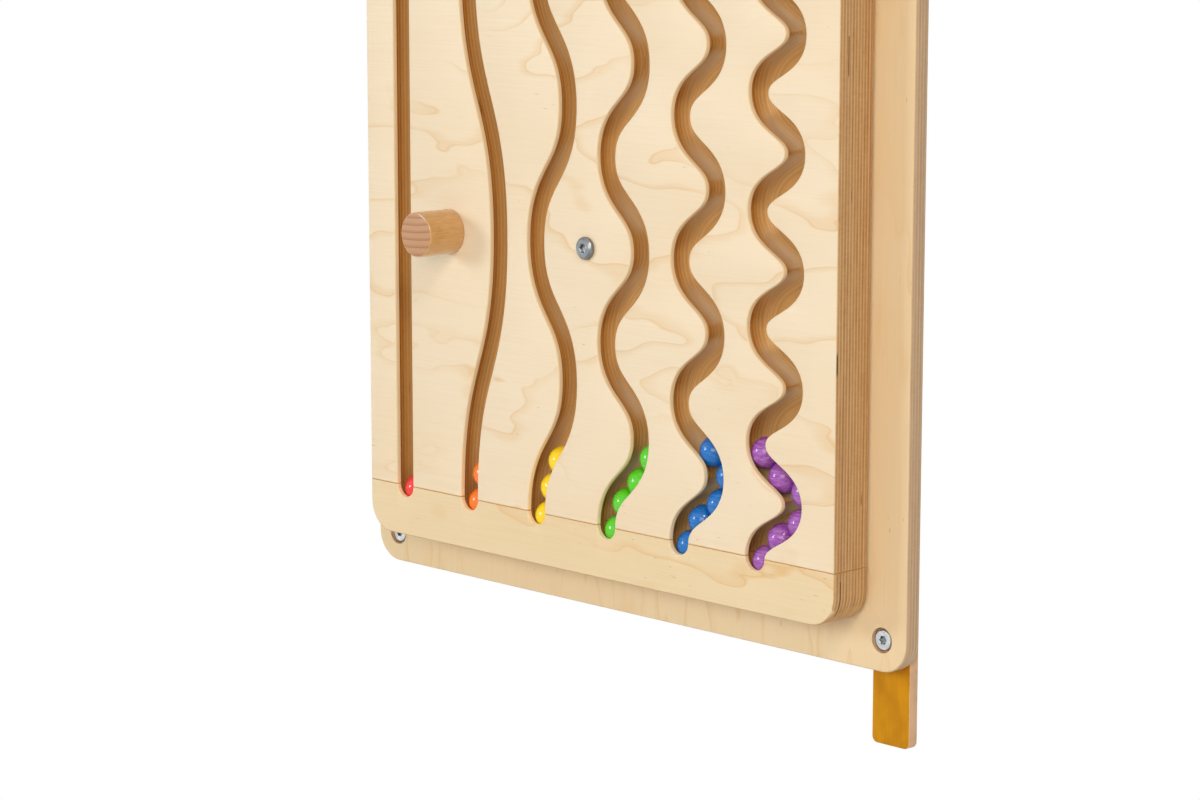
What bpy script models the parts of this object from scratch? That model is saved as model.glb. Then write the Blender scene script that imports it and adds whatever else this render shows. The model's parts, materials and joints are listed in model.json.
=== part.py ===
"""Wall activity panel: a square board with six ball tracks turns on a fixed back board.

Metres, +X right, +Y into the wall, +Z up. The turning axis is the Y axis, and the wall is the
plane y = 0, so every piece lies at y <= 0 and the front of the board faces -Y.
"""

from math import acos, cos, pi, radians, sin, sqrt

import bmesh
import bpy
from mathutils import Vector
from mathutils.geometry import interpolate_bezier, intersect_point_line

# Gap between two pieces that rest on each other, and how far a cutter runs past what it cuts
SEAT_GAP = 0.0003
CUT_OVERRUN = 0.001

# Balls: one in the first track, one more in each next track
BALL_D = 0.020
BALL_SEGMENTS = 14
BALL_RINGS = 7

# Tracks: track n is n full waves long, from its lower end to its upper end
TRACK_BALLS = ("red", "orange", "yellow", "green", "blue", "purple")
TRACK_LENGTH = 0.360
TRACK_PITCH = 0.0656
TRACK_SWING = 0.0304
WAVE_FULLNESS = 0.52
MOUTH_W = 0.0165
LIP_T = 0.0035
BALL_SIDE_PLAY = 0.004
BALL_DEPTH_PLAY = 0.0015

# How far each ball of a waved track rolls up along it, lowest ball first
BALL_TRAVELS = (
    (),
    (0.120, 0.124),
    (0.054, 0.058, 0.130),
    (0.036, 0.040, 0.060, 0.068),
    (0.022, 0.024, 0.026, 0.036, 0.038),
    (0.004, 0.006, 0.009, 0.020, 0.026, 0.052),
)
# An arc tighter than the first radius is opened out to the second
TIGHT_ROLL_R = 0.010
OPEN_ROLL_R = 0.020

# Track board and its end strips
FLOOR_T = 0.005
SIDE_MARGIN = 0.0218
STRIP_H = 0.035
BOARD_CORNER_R = 0.020
EDGE_ROUND = 0.0015
HANDLE_LAND = 1
PIVOT_LAND = 3

# Dowels that join the end strips to the track board
DOWEL_D = 0.008
DOWEL_L = 0.030
DOWEL_CHAMFER = 0.001
DOWEL_GAPS = (0, 1, 3, 4)

# Back board
BACK_BORDER = 0.030
BACK_T = 0.012
BACK_CORNER_R = 0.020

# Corner screws and the holes that they sit in
SCREW_INSET = 0.020
SCREW_D = 0.005
SCREW_HEAD_D = 0.0135
SCREW_HEAD_T = 0.003
SCREW_SOCKET_AF = 0.005
SCREW_SOCKET_DEPTH = 0.002
COUNTERBORE_CLEARANCE = 0.00125
HEAD_RECESS = 0.0012
SCREW_TIP_GAP = 0.001

# Spacers between the back board and the wall
SPACER_T = 0.008
SPACER_W = 0.020
SPACER_L = 0.040
SPACER_ROUND = 0.002

# Hanging tag, which is the spacer of the lower right corner
TAG_W = 0.030
TAG_DROP = 0.0495
TAG_RISE = 0.020
TAG_SHIFT = 0.0024
TAG_CORNER_R = 0.004

# Pivot that the track board turns on
PIVOT_D = 0.008
PIVOT_HEAD_D = 0.015
PIVOT_HEAD_T = 0.0035
PIVOT_SOCKET_AF = 0.005
PIVOT_SOCKET_DEPTH = 0.002
PIVOT_TAIL = 0.001
BUSH_WALL = 0.002
THRUST_D = 0.050
THRUST_T = 0.0024
NUT_AF = 0.013
NUT_T = 0.004
NUT_WASHER_D = 0.020
NUT_WASHER_T = 0.0016

# Handle and the screw that holds it from behind
HANDLE_D = 0.030
HANDLE_L = 0.030
HANDLE_CHAMFER = 0.001
HANDLE_SCREW_D = 0.0045
HANDLE_SCREW_HEAD_D = 0.009
HANDLE_SCREW_HEAD_T = 0.003
HANDLE_SCREW_BITE = 0.018

# Facets: steps on a quarter turn of a large or small outline, and around large or small turned pieces
ARC_STEPS = 6
SMALL_ARC_STEPS = 2
TURN_STEPS = 32
SMALL_TURN_STEPS = 16
ROUND_SEGMENTS = 2

# Facets of a half wave: these steps, and one more for each wave of the track
HALF_WAVE_STEPS = 8

# Points closer than this are one point
SAME_POINT = 1e-6

# Sizes that follow from the ones above
CAVITY_W = BALL_D + 2 * BALL_SIDE_PLAY
CAVITY_DEPTH = BALL_D + BALL_DEPTH_PLAY
BOARD_T = LIP_T + CAVITY_DEPTH + FLOOR_T
TRACK_COUNT = len(TRACK_BALLS)
FIRST_TRACK_X = -(TRACK_PITCH * (TRACK_COUNT - 1) + TRACK_SWING) / 2
BOARD_HALF_W = CAVITY_W / 2 + SIDE_MARGIN - FIRST_TRACK_X
SEAM_Z = TRACK_LENGTH / 2
BOARD_HALF_H = SEAM_Z + STRIP_H
BACK_HALF_W = BOARD_HALF_W + BACK_BORDER
BACK_HALF_H = BOARD_HALF_H + BACK_BORDER
SCREW_X = BACK_HALF_W - SCREW_INSET
SCREW_Z = BACK_HALF_H - SCREW_INSET
HANDLE_X = FIRST_TRACK_X + (TRACK_PITCH + TRACK_SWING) / 2
HANDLE_Z = 0.0

# Planes across the depth, from the wall to the front
BACK_REAR_Y = -(SPACER_T + SEAT_GAP)
BACK_FRONT_Y = BACK_REAR_Y - BACK_T
BOARD_REAR_Y = BACK_FRONT_Y - THRUST_T - 2 * SEAT_GAP
BOARD_FRONT_Y = BOARD_REAR_Y - BOARD_T

# A ball hangs forward in its cavity until the edge of the mouth stops it
MOUTH_REACH = max(0.0, MOUTH_W / 2 - BALL_SIDE_PLAY)
BALL_SINK = sqrt((BALL_D / 2 + SEAT_GAP) ** 2 - MOUTH_REACH ** 2)
BALL_Y = BOARD_FRONT_Y + LIP_T + BALL_SINK

# Colour, roughness and metallic value of each material
MATERIALS = {
    "birch_face": ((0.86, 0.72, 0.52), 0.45, 0.0),
    "birch_back": ((0.78, 0.60, 0.36), 0.45, 0.0),
    "birch_strip": ((0.85, 0.69, 0.47), 0.45, 0.0),
    "beech_handle": ((0.62, 0.36, 0.16), 0.40, 0.0),
    "beech_dowel": ((0.66, 0.45, 0.25), 0.60, 0.0),
    "tag_stain": ((0.58, 0.27, 0.03), 0.45, 0.0),
    "zinc_steel": ((0.62, 0.63, 0.64), 0.28, 1.0),
    "nylon": ((0.85, 0.84, 0.80), 0.50, 0.0),
    "red": ((0.80, 0.04, 0.04), 0.15, 0.0),
    "orange": ((0.90, 0.16, 0.01), 0.15, 0.0),
    "yellow": ((0.92, 0.55, 0.01), 0.15, 0.0),
    "green": ((0.10, 0.55, 0.02), 0.15, 0.0),
    "blue": ((0.00, 0.14, 0.50), 0.15, 0.0),
    "purple": ((0.30, 0.06, 0.38), 0.15, 0.0),
}


def clear_scene():
    for obj in list(bpy.data.objects):
        bpy.data.objects.remove(obj, do_unlink=True)


def new_collection(name):
    collection = bpy.data.collections.new(name)
    bpy.context.scene.collection.children.link(collection)
    return collection


def make_material(name):
    colour, roughness, metallic = MATERIALS[name]
    material = bpy.data.materials.new(name)
    material.use_nodes = True
    shader = material.node_tree.nodes["Principled BSDF"]
    shader.inputs["Base Color"].default_value = (*colour, 1.0)
    shader.inputs["Roughness"].default_value = roughness
    shader.inputs["Metallic"].default_value = metallic
    material.diffuse_color = (*colour, 1.0)
    return material


class Panel:
    """The model's collections and the empty that everything on the turning board hangs from."""

    def __init__(self):
        self.parts = new_collection("wall_activity_panel")
        self.cutters = new_collection("cutters")
        self.turntable = self.add_empty("turntable_axis", (0.0, 0.0, 0.0))

    def add_empty(self, name, location, parent=None):
        empty = bpy.data.objects.new(name, None)
        empty.empty_display_size = BALL_D
        empty.location = location
        empty.parent = parent
        self.parts.objects.link(empty)
        return empty

    def add_part(self, name, mesh, material, location=(0.0, 0.0, 0.0), parent=None):
        mesh.name = name
        mesh.shade_smooth()
        mesh.set_sharp_from_angle(angle=radians(30))
        mesh.materials.clear()
        mesh.materials.append(make_material(material))
        part = bpy.data.objects.new(name, mesh)
        part.location = location
        part.parent = parent
        self.parts.objects.link(part)
        return part

    def cut(self, part, name, mesh, location=(0.0, 0.0, 0.0)):
        """Cut mesh out of part, and keep the cutter so that other parts can use it too."""
        cutter = bpy.data.objects.new("cut_" + name, mesh)
        cutter.location = location
        cutter.display_type = "WIRE"
        cutter.hide_render = True
        self.cutters.objects.link(cutter)
        self.cut_again(part, cutter)
        return cutter

    def cut_again(self, part, cutter):
        boolean = part.modifiers.new(cutter.name, "BOOLEAN")
        boolean.operation = "DIFFERENCE"
        boolean.solver = "EXACT"
        boolean.object = cutter


def flat_mesh(outline, front_y, thickness):
    """A plate with the outline's (x, z) points, as a closed mesh with its front at front_y."""
    curve = bpy.data.curves.new("outline", "CURVE")
    curve.dimensions = "2D"
    curve.fill_mode = "BOTH"
    curve.extrude = thickness / 2
    spline = curve.splines.new("POLY")
    spline.points.add(len(outline) - 1)
    for point, (x, z) in zip(spline.points, outline):
        point.co = (x, z, 0.0, 1.0)
    spline.use_cyclic_u = True
    flat = bpy.data.objects.new("outline", curve)
    flat.location = (0.0, front_y + thickness / 2, 0.0)
    flat.rotation_euler = (pi / 2, 0.0, 0.0)
    bpy.context.scene.collection.objects.link(flat)
    bpy.context.view_layer.update()
    evaluated = flat.evaluated_get(bpy.context.evaluated_depsgraph_get())
    mesh = bpy.data.meshes.new_from_object(evaluated)
    mesh.transform(flat.matrix_world)
    bpy.data.objects.remove(flat, do_unlink=True)
    bpy.data.curves.remove(curve)
    edit = bmesh.new()
    edit.from_mesh(mesh)
    bmesh.ops.remove_doubles(edit, verts=edit.verts, dist=SAME_POINT)
    bmesh.ops.recalc_face_normals(edit, faces=edit.faces)
    edit.to_mesh(mesh)
    edit.free()
    return mesh


def round_rim(mesh, seams=()):
    """Round the rims around a plate's front and rear faces, but not along its seams (z values)."""

    def on_seam(edge):
        return any(all(abs(v.co.z - seam) < SAME_POINT for v in edge.verts) for seam in seams)

    def on_rim(edge):
        across = abs(edge.verts[0].co.y - edge.verts[1].co.y) > SAME_POINT
        return not across and edge.calc_face_angle(0.0) > radians(80)

    return round_edges(mesh, lambda edge: on_rim(edge) and not on_seam(edge))


def round_sides(mesh, rim_y):
    """Round the upright edges that a piece has at the board's sides and at that depth."""

    def on_side(vertex):
        x, y, _ = vertex.co
        return abs(abs(x) - BOARD_HALF_W) < SAME_POINT and abs(y - rim_y) < SAME_POINT

    return round_edges(mesh, lambda edge: all(on_side(v) for v in edge.verts))


def round_edges(mesh, wanted):
    """Round the edges of a mesh for which wanted(edge) is true."""
    edit = bmesh.new()
    edit.from_mesh(mesh)
    edges = [edge for edge in edit.edges if wanted(edge)]
    bmesh.ops.bevel(
        edit, geom=edges, offset=EDGE_ROUND, segments=ROUND_SEGMENTS, profile=0.5, affect="EDGES"
    )
    edit.to_mesh(mesh)
    edit.free()
    return mesh


def arc(centre_x, centre_z, radius, start, end, steps):
    """Points on a circle from the start angle to the end angle, both ends included."""
    angles = [start + (end - start) * i / steps for i in range(steps + 1)]
    return [(centre_x + radius * cos(a), centre_z + radius * sin(a)) for a in angles]


def rounded_rectangle(half_w, low_z, high_z, low_radius, high_radius, steps=ARC_STEPS):
    """An outline with its own corner radius at its lower and its upper corners."""
    corners = (
        (1, high_z, high_radius, 0.0),
        (-1, high_z, high_radius, pi / 2),
        (-1, low_z, low_radius, pi),
        (1, low_z, low_radius, 3 * pi / 2),
    )
    outline = []
    for side, z, radius, start in corners:
        if radius == 0.0:
            outline.append((side * half_w, z))
            continue
        inward = -radius if z == high_z else radius
        centre_x = side * (half_w - radius)
        outline += arc(centre_x, z + inward, radius, start, start + pi / 2, steps)
    return outline


def turned_mesh(profile, steps=TURN_STEPS):
    """Turn a profile of (radius, height) points, top to bottom, about the line that faces -Y."""
    edit = bmesh.new()
    points = [edit.verts.new((radius, 0.0, height)) for radius, height in profile]
    for upper, lower in zip(points, points[1:]):
        edit.edges.new((upper, lower))
    mesh = bpy.data.meshes.new("profile")
    edit.to_mesh(mesh)
    edit.free()
    turned = bpy.data.objects.new("profile", mesh)
    bpy.context.scene.collection.objects.link(turned)
    screw = turned.modifiers.new("Screw", "SCREW")
    screw.steps = steps
    screw.render_steps = steps
    screw.use_merge_vertices = True
    screw.merge_threshold = SAME_POINT
    weld = turned.modifiers.new("Weld", "WELD")
    weld.merge_threshold = SAME_POINT
    turned.rotation_euler = (pi / 2, 0.0, 0.0)
    bpy.context.view_layer.update()
    evaluated = turned.evaluated_get(bpy.context.evaluated_depsgraph_get())
    solid = bpy.data.meshes.new_from_object(evaluated)
    solid.transform(turned.matrix_world)
    bpy.data.objects.remove(turned, do_unlink=True)
    bpy.data.meshes.remove(mesh)
    return solid


def box_mesh(low, high):
    """A plain box between two opposite corners."""
    edit = bmesh.new()
    bmesh.ops.create_cube(edit, size=1.0)
    for vertex in edit.verts:
        vertex.co = [a + (b - a) * (c + 0.5) for a, b, c in zip(low, high, vertex.co)]
    mesh = bpy.data.meshes.new("box")
    edit.to_mesh(mesh)
    edit.free()
    return mesh


def rod_mesh(diameter, length, steps=SMALL_TURN_STEPS):
    """A plain rod whose rear end is at y = 0 and whose front end is at y = -length."""
    return turned_mesh(((0.0, length), (diameter / 2, length), (diameter / 2, 0.0), (0.0, 0.0)), steps)


def hexagon_mesh(across_flats, length):
    return rod_mesh(across_flats / cos(pi / 6), length, steps=6)


def ring_mesh(outer_d, inner_d, length):
    """A washer or bush: its closed profile is turned, so it has a bore."""
    outer, inner = outer_d / 2, inner_d / 2
    profile = ((inner, length), (outer, length), (outer, 0.0), (inner, 0.0), (inner, length))
    return turned_mesh(profile)


def track_x(track):
    return FIRST_TRACK_X + TRACK_PITCH * track


def track_path(waves, finer=1):
    """The centre line of a track with that many waves, from low to high, x from its first line."""
    low, high = Vector((0.0, -SEAM_Z)), Vector((0.0, SEAM_Z))
    if waves == 0:
        return [low, high]
    rise = TRACK_LENGTH / (2 * waves)
    handle = Vector((0.0, rise * WAVE_FULLNESS))
    path = []
    for i in range(2 * waves):
        start = Vector((TRACK_SWING * (i % 2), low.y + i * rise))
        end = Vector((TRACK_SWING * ((i + 1) % 2), start.y + rise))
        steps = (HALF_WAVE_STEPS + waves) * finer
        path += interpolate_bezier(start, start + handle, end - handle, end, steps + 1)[:-1]
    return path + [high]


def side_line(path, distance):
    """The line at that distance to the right of a path, or to its left where it is negative."""
    line = []
    for i, point in enumerate(path):
        along = path[min(i + 1, len(path) - 1)] - path[max(i - 1, 0)]
        if i in (0, len(path) - 1):
            along = Vector((0.0, 1.0))
        right = Vector((along.y, -along.x)).normalized()
        line.append(point + right * distance)
    # Inside a tight bend the line would fold back over itself, so points too near the path are dropped
    reach = abs(distance) * 0.998
    return [q for q in line if min((q - p).length for p in path) >= reach]


def track_edge(track, distance, z):
    """The x of a track's right side at that height, or of its left side where distance is negative.

    It is the furthest that discs of that radius, set all along the centre line, reach.
    """
    if track == 0:
        return track_x(track) + distance
    side = 1 if distance > 0 else -1
    near = [p for p in track_path(track, 6) if abs(p.y - z) < abs(distance)]
    reach = max(side * p.x + sqrt(distance ** 2 - (p.y - z) ** 2) for p in near)
    return track_x(track) + side * reach


def track_outline(track, width):
    """The outline of a cutter that runs along a track, with round ends."""
    path = track_path(track)
    right = side_line(path, width / 2)
    left = side_line(path, -width / 2)
    top = arc(0.0, SEAM_Z, width / 2, 0.0, pi, 2 * ARC_STEPS)[1:-1]
    bottom = arc(0.0, -SEAM_Z, width / 2, pi, 2 * pi, 2 * ARC_STEPS)[1:-1]
    outline = [tuple(p) for p in right] + top + [tuple(p) for p in reversed(left)] + bottom
    return [(track_x(track) + x, z) for x, z in outline]


def resting_centres(track):
    """Where a track's balls lie, in its own (x, z), each on the one below and on the lower wall."""
    path = track_path(track)
    play = BALL_SIDE_PLAY - SEAT_GAP
    rise = TRACK_LENGTH / max(1, 2 * track)
    centres = [Vector((0.0, -SEAM_Z - play))]
    while len(centres) <= track:
        below = centres[-1]
        runs_right = int(max(0.0, below.y + SEAM_Z) // rise) % 2 == 0
        wall = side_line(path, play if runs_right else -play)
        centres.append(first_at_distance(wall, below, BALL_D + SEAT_GAP))
    return centres


def first_at_distance(line, below, distance):
    """The first point up a line that is that far from the point below."""
    above = [p for p in line if p.y > below.y]
    far = next(i for i, p in enumerate(above) if (p - below).length >= distance)
    near, end = above[max(far - 1, 0)], above[far]
    for i in range(101):
        point = near.lerp(end, i / 100)
        if (point - below).length >= distance:
            return point
    return end


def nearest_on_path(path, point):
    """The path's nearest point to a point, and the number of the leg that it lies on."""
    places = []
    for leg, (near, end) in enumerate(zip(path, path[1:])):
        share = intersect_point_line(point, near, end)[1]
        place = near.lerp(end, max(0.0, min(1.0, share)))
        places.append(((place - point).length, leg, place))
    _, leg, place = min(places, key=lambda found: found[0])
    return leg, place


def point_along(path, start, distance):
    """The point on a path that lies that far beyond the path's nearest point to start."""
    leg, near = nearest_on_path(path, start)
    for end in path[leg + 1:]:
        length = (end - near).length
        if length >= distance:
            return near.lerp(end, distance / length)
        distance -= length
        near = end
    return near


def circle_centre(a, b, c):
    """The centre of the circle through three points."""
    ab, ac = b - a, c - a
    twice_area = 2 * (ab.x * ac.y - ab.y * ac.x)
    across = (ac.y * ab.length_squared - ab.y * ac.length_squared) / twice_area
    up = (ab.x * ac.length_squared - ac.x * ab.length_squared) / twice_area
    return a + Vector((across, up))


def roll_arc(track, start, travel):
    """Centre and signed angle of the arc that carries a ball from its rest up along its track.

    An arc that would be too tight to turn smoothly is opened out between the same two ends.
    """
    path = track_path(track)
    half_way = point_along(path, start, travel / 2)
    end = point_along(path, start, travel)
    centre = circle_centre(start, half_way, end)
    if (start - centre).length < TIGHT_ROLL_R:
        middle = (start + end) / 2
        to_middle_squared = OPEN_ROLL_R ** 2 - (end - start).length_squared / 4
        centre = middle + (centre - middle).normalized() * sqrt(to_middle_squared)
    first, last = start - centre, end - centre
    angle = acos(max(-1.0, min(1.0, first.dot(last) / (first.length * last.length))))
    runs_clockwise = first.x * last.y - first.y * last.x < 0
    return centre, angle if runs_clockwise else -angle


def add_back_board(panel):
    """The fixed board, with a counterbored hole in each corner and one for the pivot."""
    outline = rounded_rectangle(BACK_HALF_W, -BACK_HALF_H, BACK_HALF_H, BACK_CORNER_R, BACK_CORNER_R)
    mesh = round_rim(flat_mesh(outline, BACK_FRONT_Y, BACK_T))
    board = panel.add_part("back_board", mesh, "birch_back")
    bore = rod_mesh(SCREW_D + 2 * SEAT_GAP, BACK_T + 2 * CUT_OVERRUN)
    sink_depth = HEAD_RECESS + SCREW_HEAD_T + SEAT_GAP
    sink = rod_mesh(SCREW_HEAD_D + 2 * COUNTERBORE_CLEARANCE, sink_depth + CUT_OVERRUN, TURN_STEPS)
    sink_y = BACK_FRONT_Y + sink_depth
    for name, x, z in corner_places():
        panel.cut(board, "back_bore_" + name, bore, (x, BACK_REAR_Y + CUT_OVERRUN, z))
        panel.cut(board, "back_sink_" + name, sink, (x, sink_y, z))
    pivot = rod_mesh(PIVOT_D + 2 * SEAT_GAP, BACK_T + 2 * CUT_OVERRUN)
    panel.cut(board, "back_pivot", pivot, (0.0, BACK_REAR_Y + CUT_OVERRUN, 0.0))


def corner_places():
    return (
        ("lower_left", -SCREW_X, -SCREW_Z),
        ("lower_right", SCREW_X, -SCREW_Z),
        ("upper_left", -SCREW_X, SCREW_Z),
        ("upper_right", SCREW_X, SCREW_Z),
    )


def add_corner_screws(panel):
    """Screws through the back board and the spacers, up to the wall."""
    head_rear_y = BACK_FRONT_Y + HEAD_RECESS + SCREW_HEAD_T
    shank_l = -head_rear_y - SCREW_TIP_GAP
    profile = (
        (0.0, shank_l + SCREW_HEAD_T),
        (SCREW_HEAD_D / 2, shank_l + SCREW_HEAD_T),
        (SCREW_HEAD_D / 2, shank_l),
        (SCREW_D / 2, shank_l),
        (SCREW_D / 2, 0.0),
        (0.0, 0.0),
    )
    socket = hexagon_mesh(SCREW_SOCKET_AF, SCREW_SOCKET_DEPTH + CUT_OVERRUN)
    socket_y = BACK_FRONT_Y + HEAD_RECESS + SCREW_SOCKET_DEPTH
    for name, x, z in corner_places():
        place = (x, -SCREW_TIP_GAP, z)
        mesh = turned_mesh(profile, SMALL_TURN_STEPS)
        screw = panel.add_part("corner_screw_" + name, mesh, "zinc_steel", place)
        panel.cut(screw, "corner_socket_" + name, socket, (x, socket_y, z))


def add_spacers(panel):
    """Plain blocks at three corners, and the longer tag at the fourth."""
    bore = rod_mesh(SCREW_D + 2 * SEAT_GAP, SPACER_T + 2 * CUT_OVERRUN)
    for name, x, z in corner_places():
        is_tag = name == "lower_right"
        centre_x = x - TAG_SHIFT if is_tag else x
        half_w = TAG_W / 2 if is_tag else SPACER_W / 2
        low_z = -BACK_HALF_H - TAG_DROP if is_tag else z - SPACER_L / 2
        high_z = z + TAG_RISE if is_tag else z + SPACER_L / 2
        round_r = TAG_CORNER_R if is_tag else SPACER_ROUND
        outline = rounded_rectangle(half_w, low_z, high_z, round_r, round_r, SMALL_ARC_STEPS)
        outline = [(centre_x + px, pz) for px, pz in outline]
        mesh = flat_mesh(outline, -SPACER_T, SPACER_T)
        node = "hanging_tag" if is_tag else "spacer_" + name
        block = panel.add_part(node, mesh, "tag_stain" if is_tag else "birch_back")
        panel.cut(block, "spacer_bore_" + name, bore, (x, CUT_OVERRUN, z))


def add_track_board(panel):
    """The turning board between the two seams: its floor, and the lands between its tracks.

    It is one board, made here as simple pieces so that its collision can stay out of the tracks.
    """
    seam = SEAM_Z - SEAT_GAP / 2
    low, high = (-BOARD_HALF_W, BOARD_REAR_Y - FLOOR_T, -seam), (BOARD_HALF_W, BOARD_REAR_Y, seam)
    mesh = round_sides(box_mesh(low, high), BOARD_REAR_Y)
    floor = panel.add_part("track_floor", mesh, "birch_face", parent=panel.turntable)
    lands = []
    for number in range(TRACK_COUNT + 1):
        mesh = round_sides(land_mesh(number, seam), BOARD_FRONT_Y)
        name = f"track_land_{number + 1}"
        lands.append(panel.add_part(name, mesh, "birch_face", parent=panel.turntable))
    bush_hole = rod_mesh(bush_outer_d() + 2 * SEAT_GAP, BOARD_T + 2 * CUT_OVERRUN)
    pivot = panel.cut(floor, "board_pivot", bush_hole, (0.0, BOARD_REAR_Y + CUT_OVERRUN, 0.0))
    panel.cut_again(lands[PIVOT_LAND], pivot)
    bore_mesh = rod_mesh(HANDLE_SCREW_D + 2 * SEAT_GAP, BOARD_T + 2 * CUT_OVERRUN)
    bore_place = (HANDLE_X, BOARD_REAR_Y + CUT_OVERRUN, HANDLE_Z)
    bore = panel.cut(floor, "board_handle_bore", bore_mesh, bore_place)
    panel.cut_again(lands[HANDLE_LAND], bore)
    sink_depth = HANDLE_SCREW_HEAD_T + 2 * SEAT_GAP
    sink = rod_mesh(HANDLE_SCREW_HEAD_D + 2 * SEAT_GAP, sink_depth + CUT_OVERRUN)
    panel.cut(floor, "board_handle_sink", sink, (HANDLE_X, BOARD_REAR_Y + CUT_OVERRUN, HANDLE_Z))
    return lands


def land_mesh(number, seam):
    """The wood between two tracks, or between the outer one and the board's side.

    Loops run round it at the face, at the lips' undersides and at its foot.
    """

    def side(track, distance):
        if track in (-1, TRACK_COUNT):
            x = BOARD_HALF_W if track > 0 else -BOARD_HALF_W
            return [(x, -seam), (x, seam)]
        heights = [-seam] + [p.y for p in track_path(track)[1:-1]] + [seam]
        return [(track_edge(track, distance, z), z) for z in heights]

    lip_y, foot_y = BOARD_FRONT_Y + LIP_T, BOARD_REAR_Y - FLOOR_T
    edit = bmesh.new()
    rings = []
    for y, width in ((BOARD_FRONT_Y, MOUTH_W), (lip_y, MOUTH_W), (lip_y, CAVITY_W), (foot_y, CAVITY_W)):
        right, left = side(number, -width / 2), side(number - 1, width / 2)
        rings.append([edit.verts.new((x, y, z)) for x, z in right + left[::-1]])
    for ring in (rings[0], rings[-1]):
        edit.faces.new(ring)
    ends = (0, len(right))
    for i in range(len(right) + len(left)):
        if i in ends:
            edit.faces.new([ring[i - 1] for ring in rings] + [ring[i] for ring in rings[::-1]])
            continue
        for ring, below in zip(rings, rings[1:]):
            edit.faces.new((ring[i - 1], ring[i], below[i], below[i - 1]))
    bmesh.ops.remove_doubles(edit, verts=edit.verts, dist=SAME_POINT)
    bmesh.ops.recalc_face_normals(edit, faces=edit.faces)
    mesh = bpy.data.meshes.new("land")
    edit.to_mesh(mesh)
    edit.free()
    return mesh


def add_end_strip(panel, name, side):
    """The strip that closes the tracks at the top (side 1) or at the bottom (side -1)."""
    seam = SEAM_Z + SEAT_GAP / 2
    low_radius = BOARD_CORNER_R if side < 0 else 0.0
    high_radius = BOARD_CORNER_R if side > 0 else 0.0
    low_z, high_z = sorted((side * seam, side * BOARD_HALF_H))
    outline = rounded_rectangle(BOARD_HALF_W, low_z, high_z, low_radius, high_radius)
    mesh = round_rim(flat_mesh(outline, BOARD_FRONT_Y, BOARD_T), seams=(side * seam,))
    return panel.add_part(name, mesh, "birch_strip", parent=panel.turntable)


def cut_tracks(panel, strips):
    """Cut the round ends of each track's cavity, and of its narrower mouth, from both strips."""
    for track in range(TRACK_COUNT):
        cavity = flat_mesh(track_outline(track, CAVITY_W), BOARD_FRONT_Y + LIP_T, CAVITY_DEPTH)
        mouth_front = BOARD_FRONT_Y - CUT_OVERRUN
        mouth = flat_mesh(track_outline(track, MOUTH_W), mouth_front, LIP_T + 2 * CUT_OVERRUN)
        for name, mesh in (("cavity", cavity), ("mouth", mouth)):
            cutter = panel.cut(strips[0], f"track_{name}_{track}", mesh)
            panel.cut_again(strips[1], cutter)


def add_dowels(panel, lands, strips):
    """Dowels half in the board and half in each strip, midway between the walls of two tracks."""
    hole_l = DOWEL_L + 2 * SEAT_GAP
    hole = standing_rod_mesh(DOWEL_D + 2 * SEAT_GAP, hole_l)
    radius = DOWEL_D / 2
    tip = radius - DOWEL_CHAMFER
    half = DOWEL_L / 2
    shoulder = half - DOWEL_CHAMFER
    upper = ((0.0, half), (tip, half), (radius, shoulder))
    profile = upper + tuple((x, -z) for x, z in reversed(upper))
    middle_y = (BOARD_FRONT_Y + BOARD_REAR_Y) / 2
    for strip, side in zip(strips, (-1, 1)):
        tip_z = side * (SEAM_Z - hole_l / 2)
        for number, gap in enumerate(DOWEL_GAPS, 1):
            left = track_edge(gap, CAVITY_W / 2, tip_z)
            right = track_edge(gap + 1, -CAVITY_W / 2, tip_z)
            place = ((left + right) / 2, middle_y, side * SEAM_Z)
            name = ("bottom" if side < 0 else "top") + f"_dowel_{number}"
            mesh = turned_mesh(profile, SMALL_TURN_STEPS)
            stand_up(mesh)
            panel.add_part(name, mesh, "beech_dowel", place, panel.turntable)
            cutter = panel.cut(lands[gap + 1], name, hole, place)
            panel.cut_again(strip, cutter)


def stand_up(mesh):
    """Turn a mesh that faces -Y so that it points up."""
    for vertex in mesh.vertices:
        x, y, z = vertex.co
        vertex.co = (x, z, -y)


def standing_rod_mesh(diameter, length):
    """An upright rod with its middle at the origin."""
    mesh = rod_mesh(diameter, length)
    stand_up(mesh)
    for vertex in mesh.vertices:
        vertex.co.z -= length / 2
    return mesh


def bush_outer_d():
    return PIVOT_D + 2 * (SEAT_GAP + BUSH_WALL)


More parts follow.
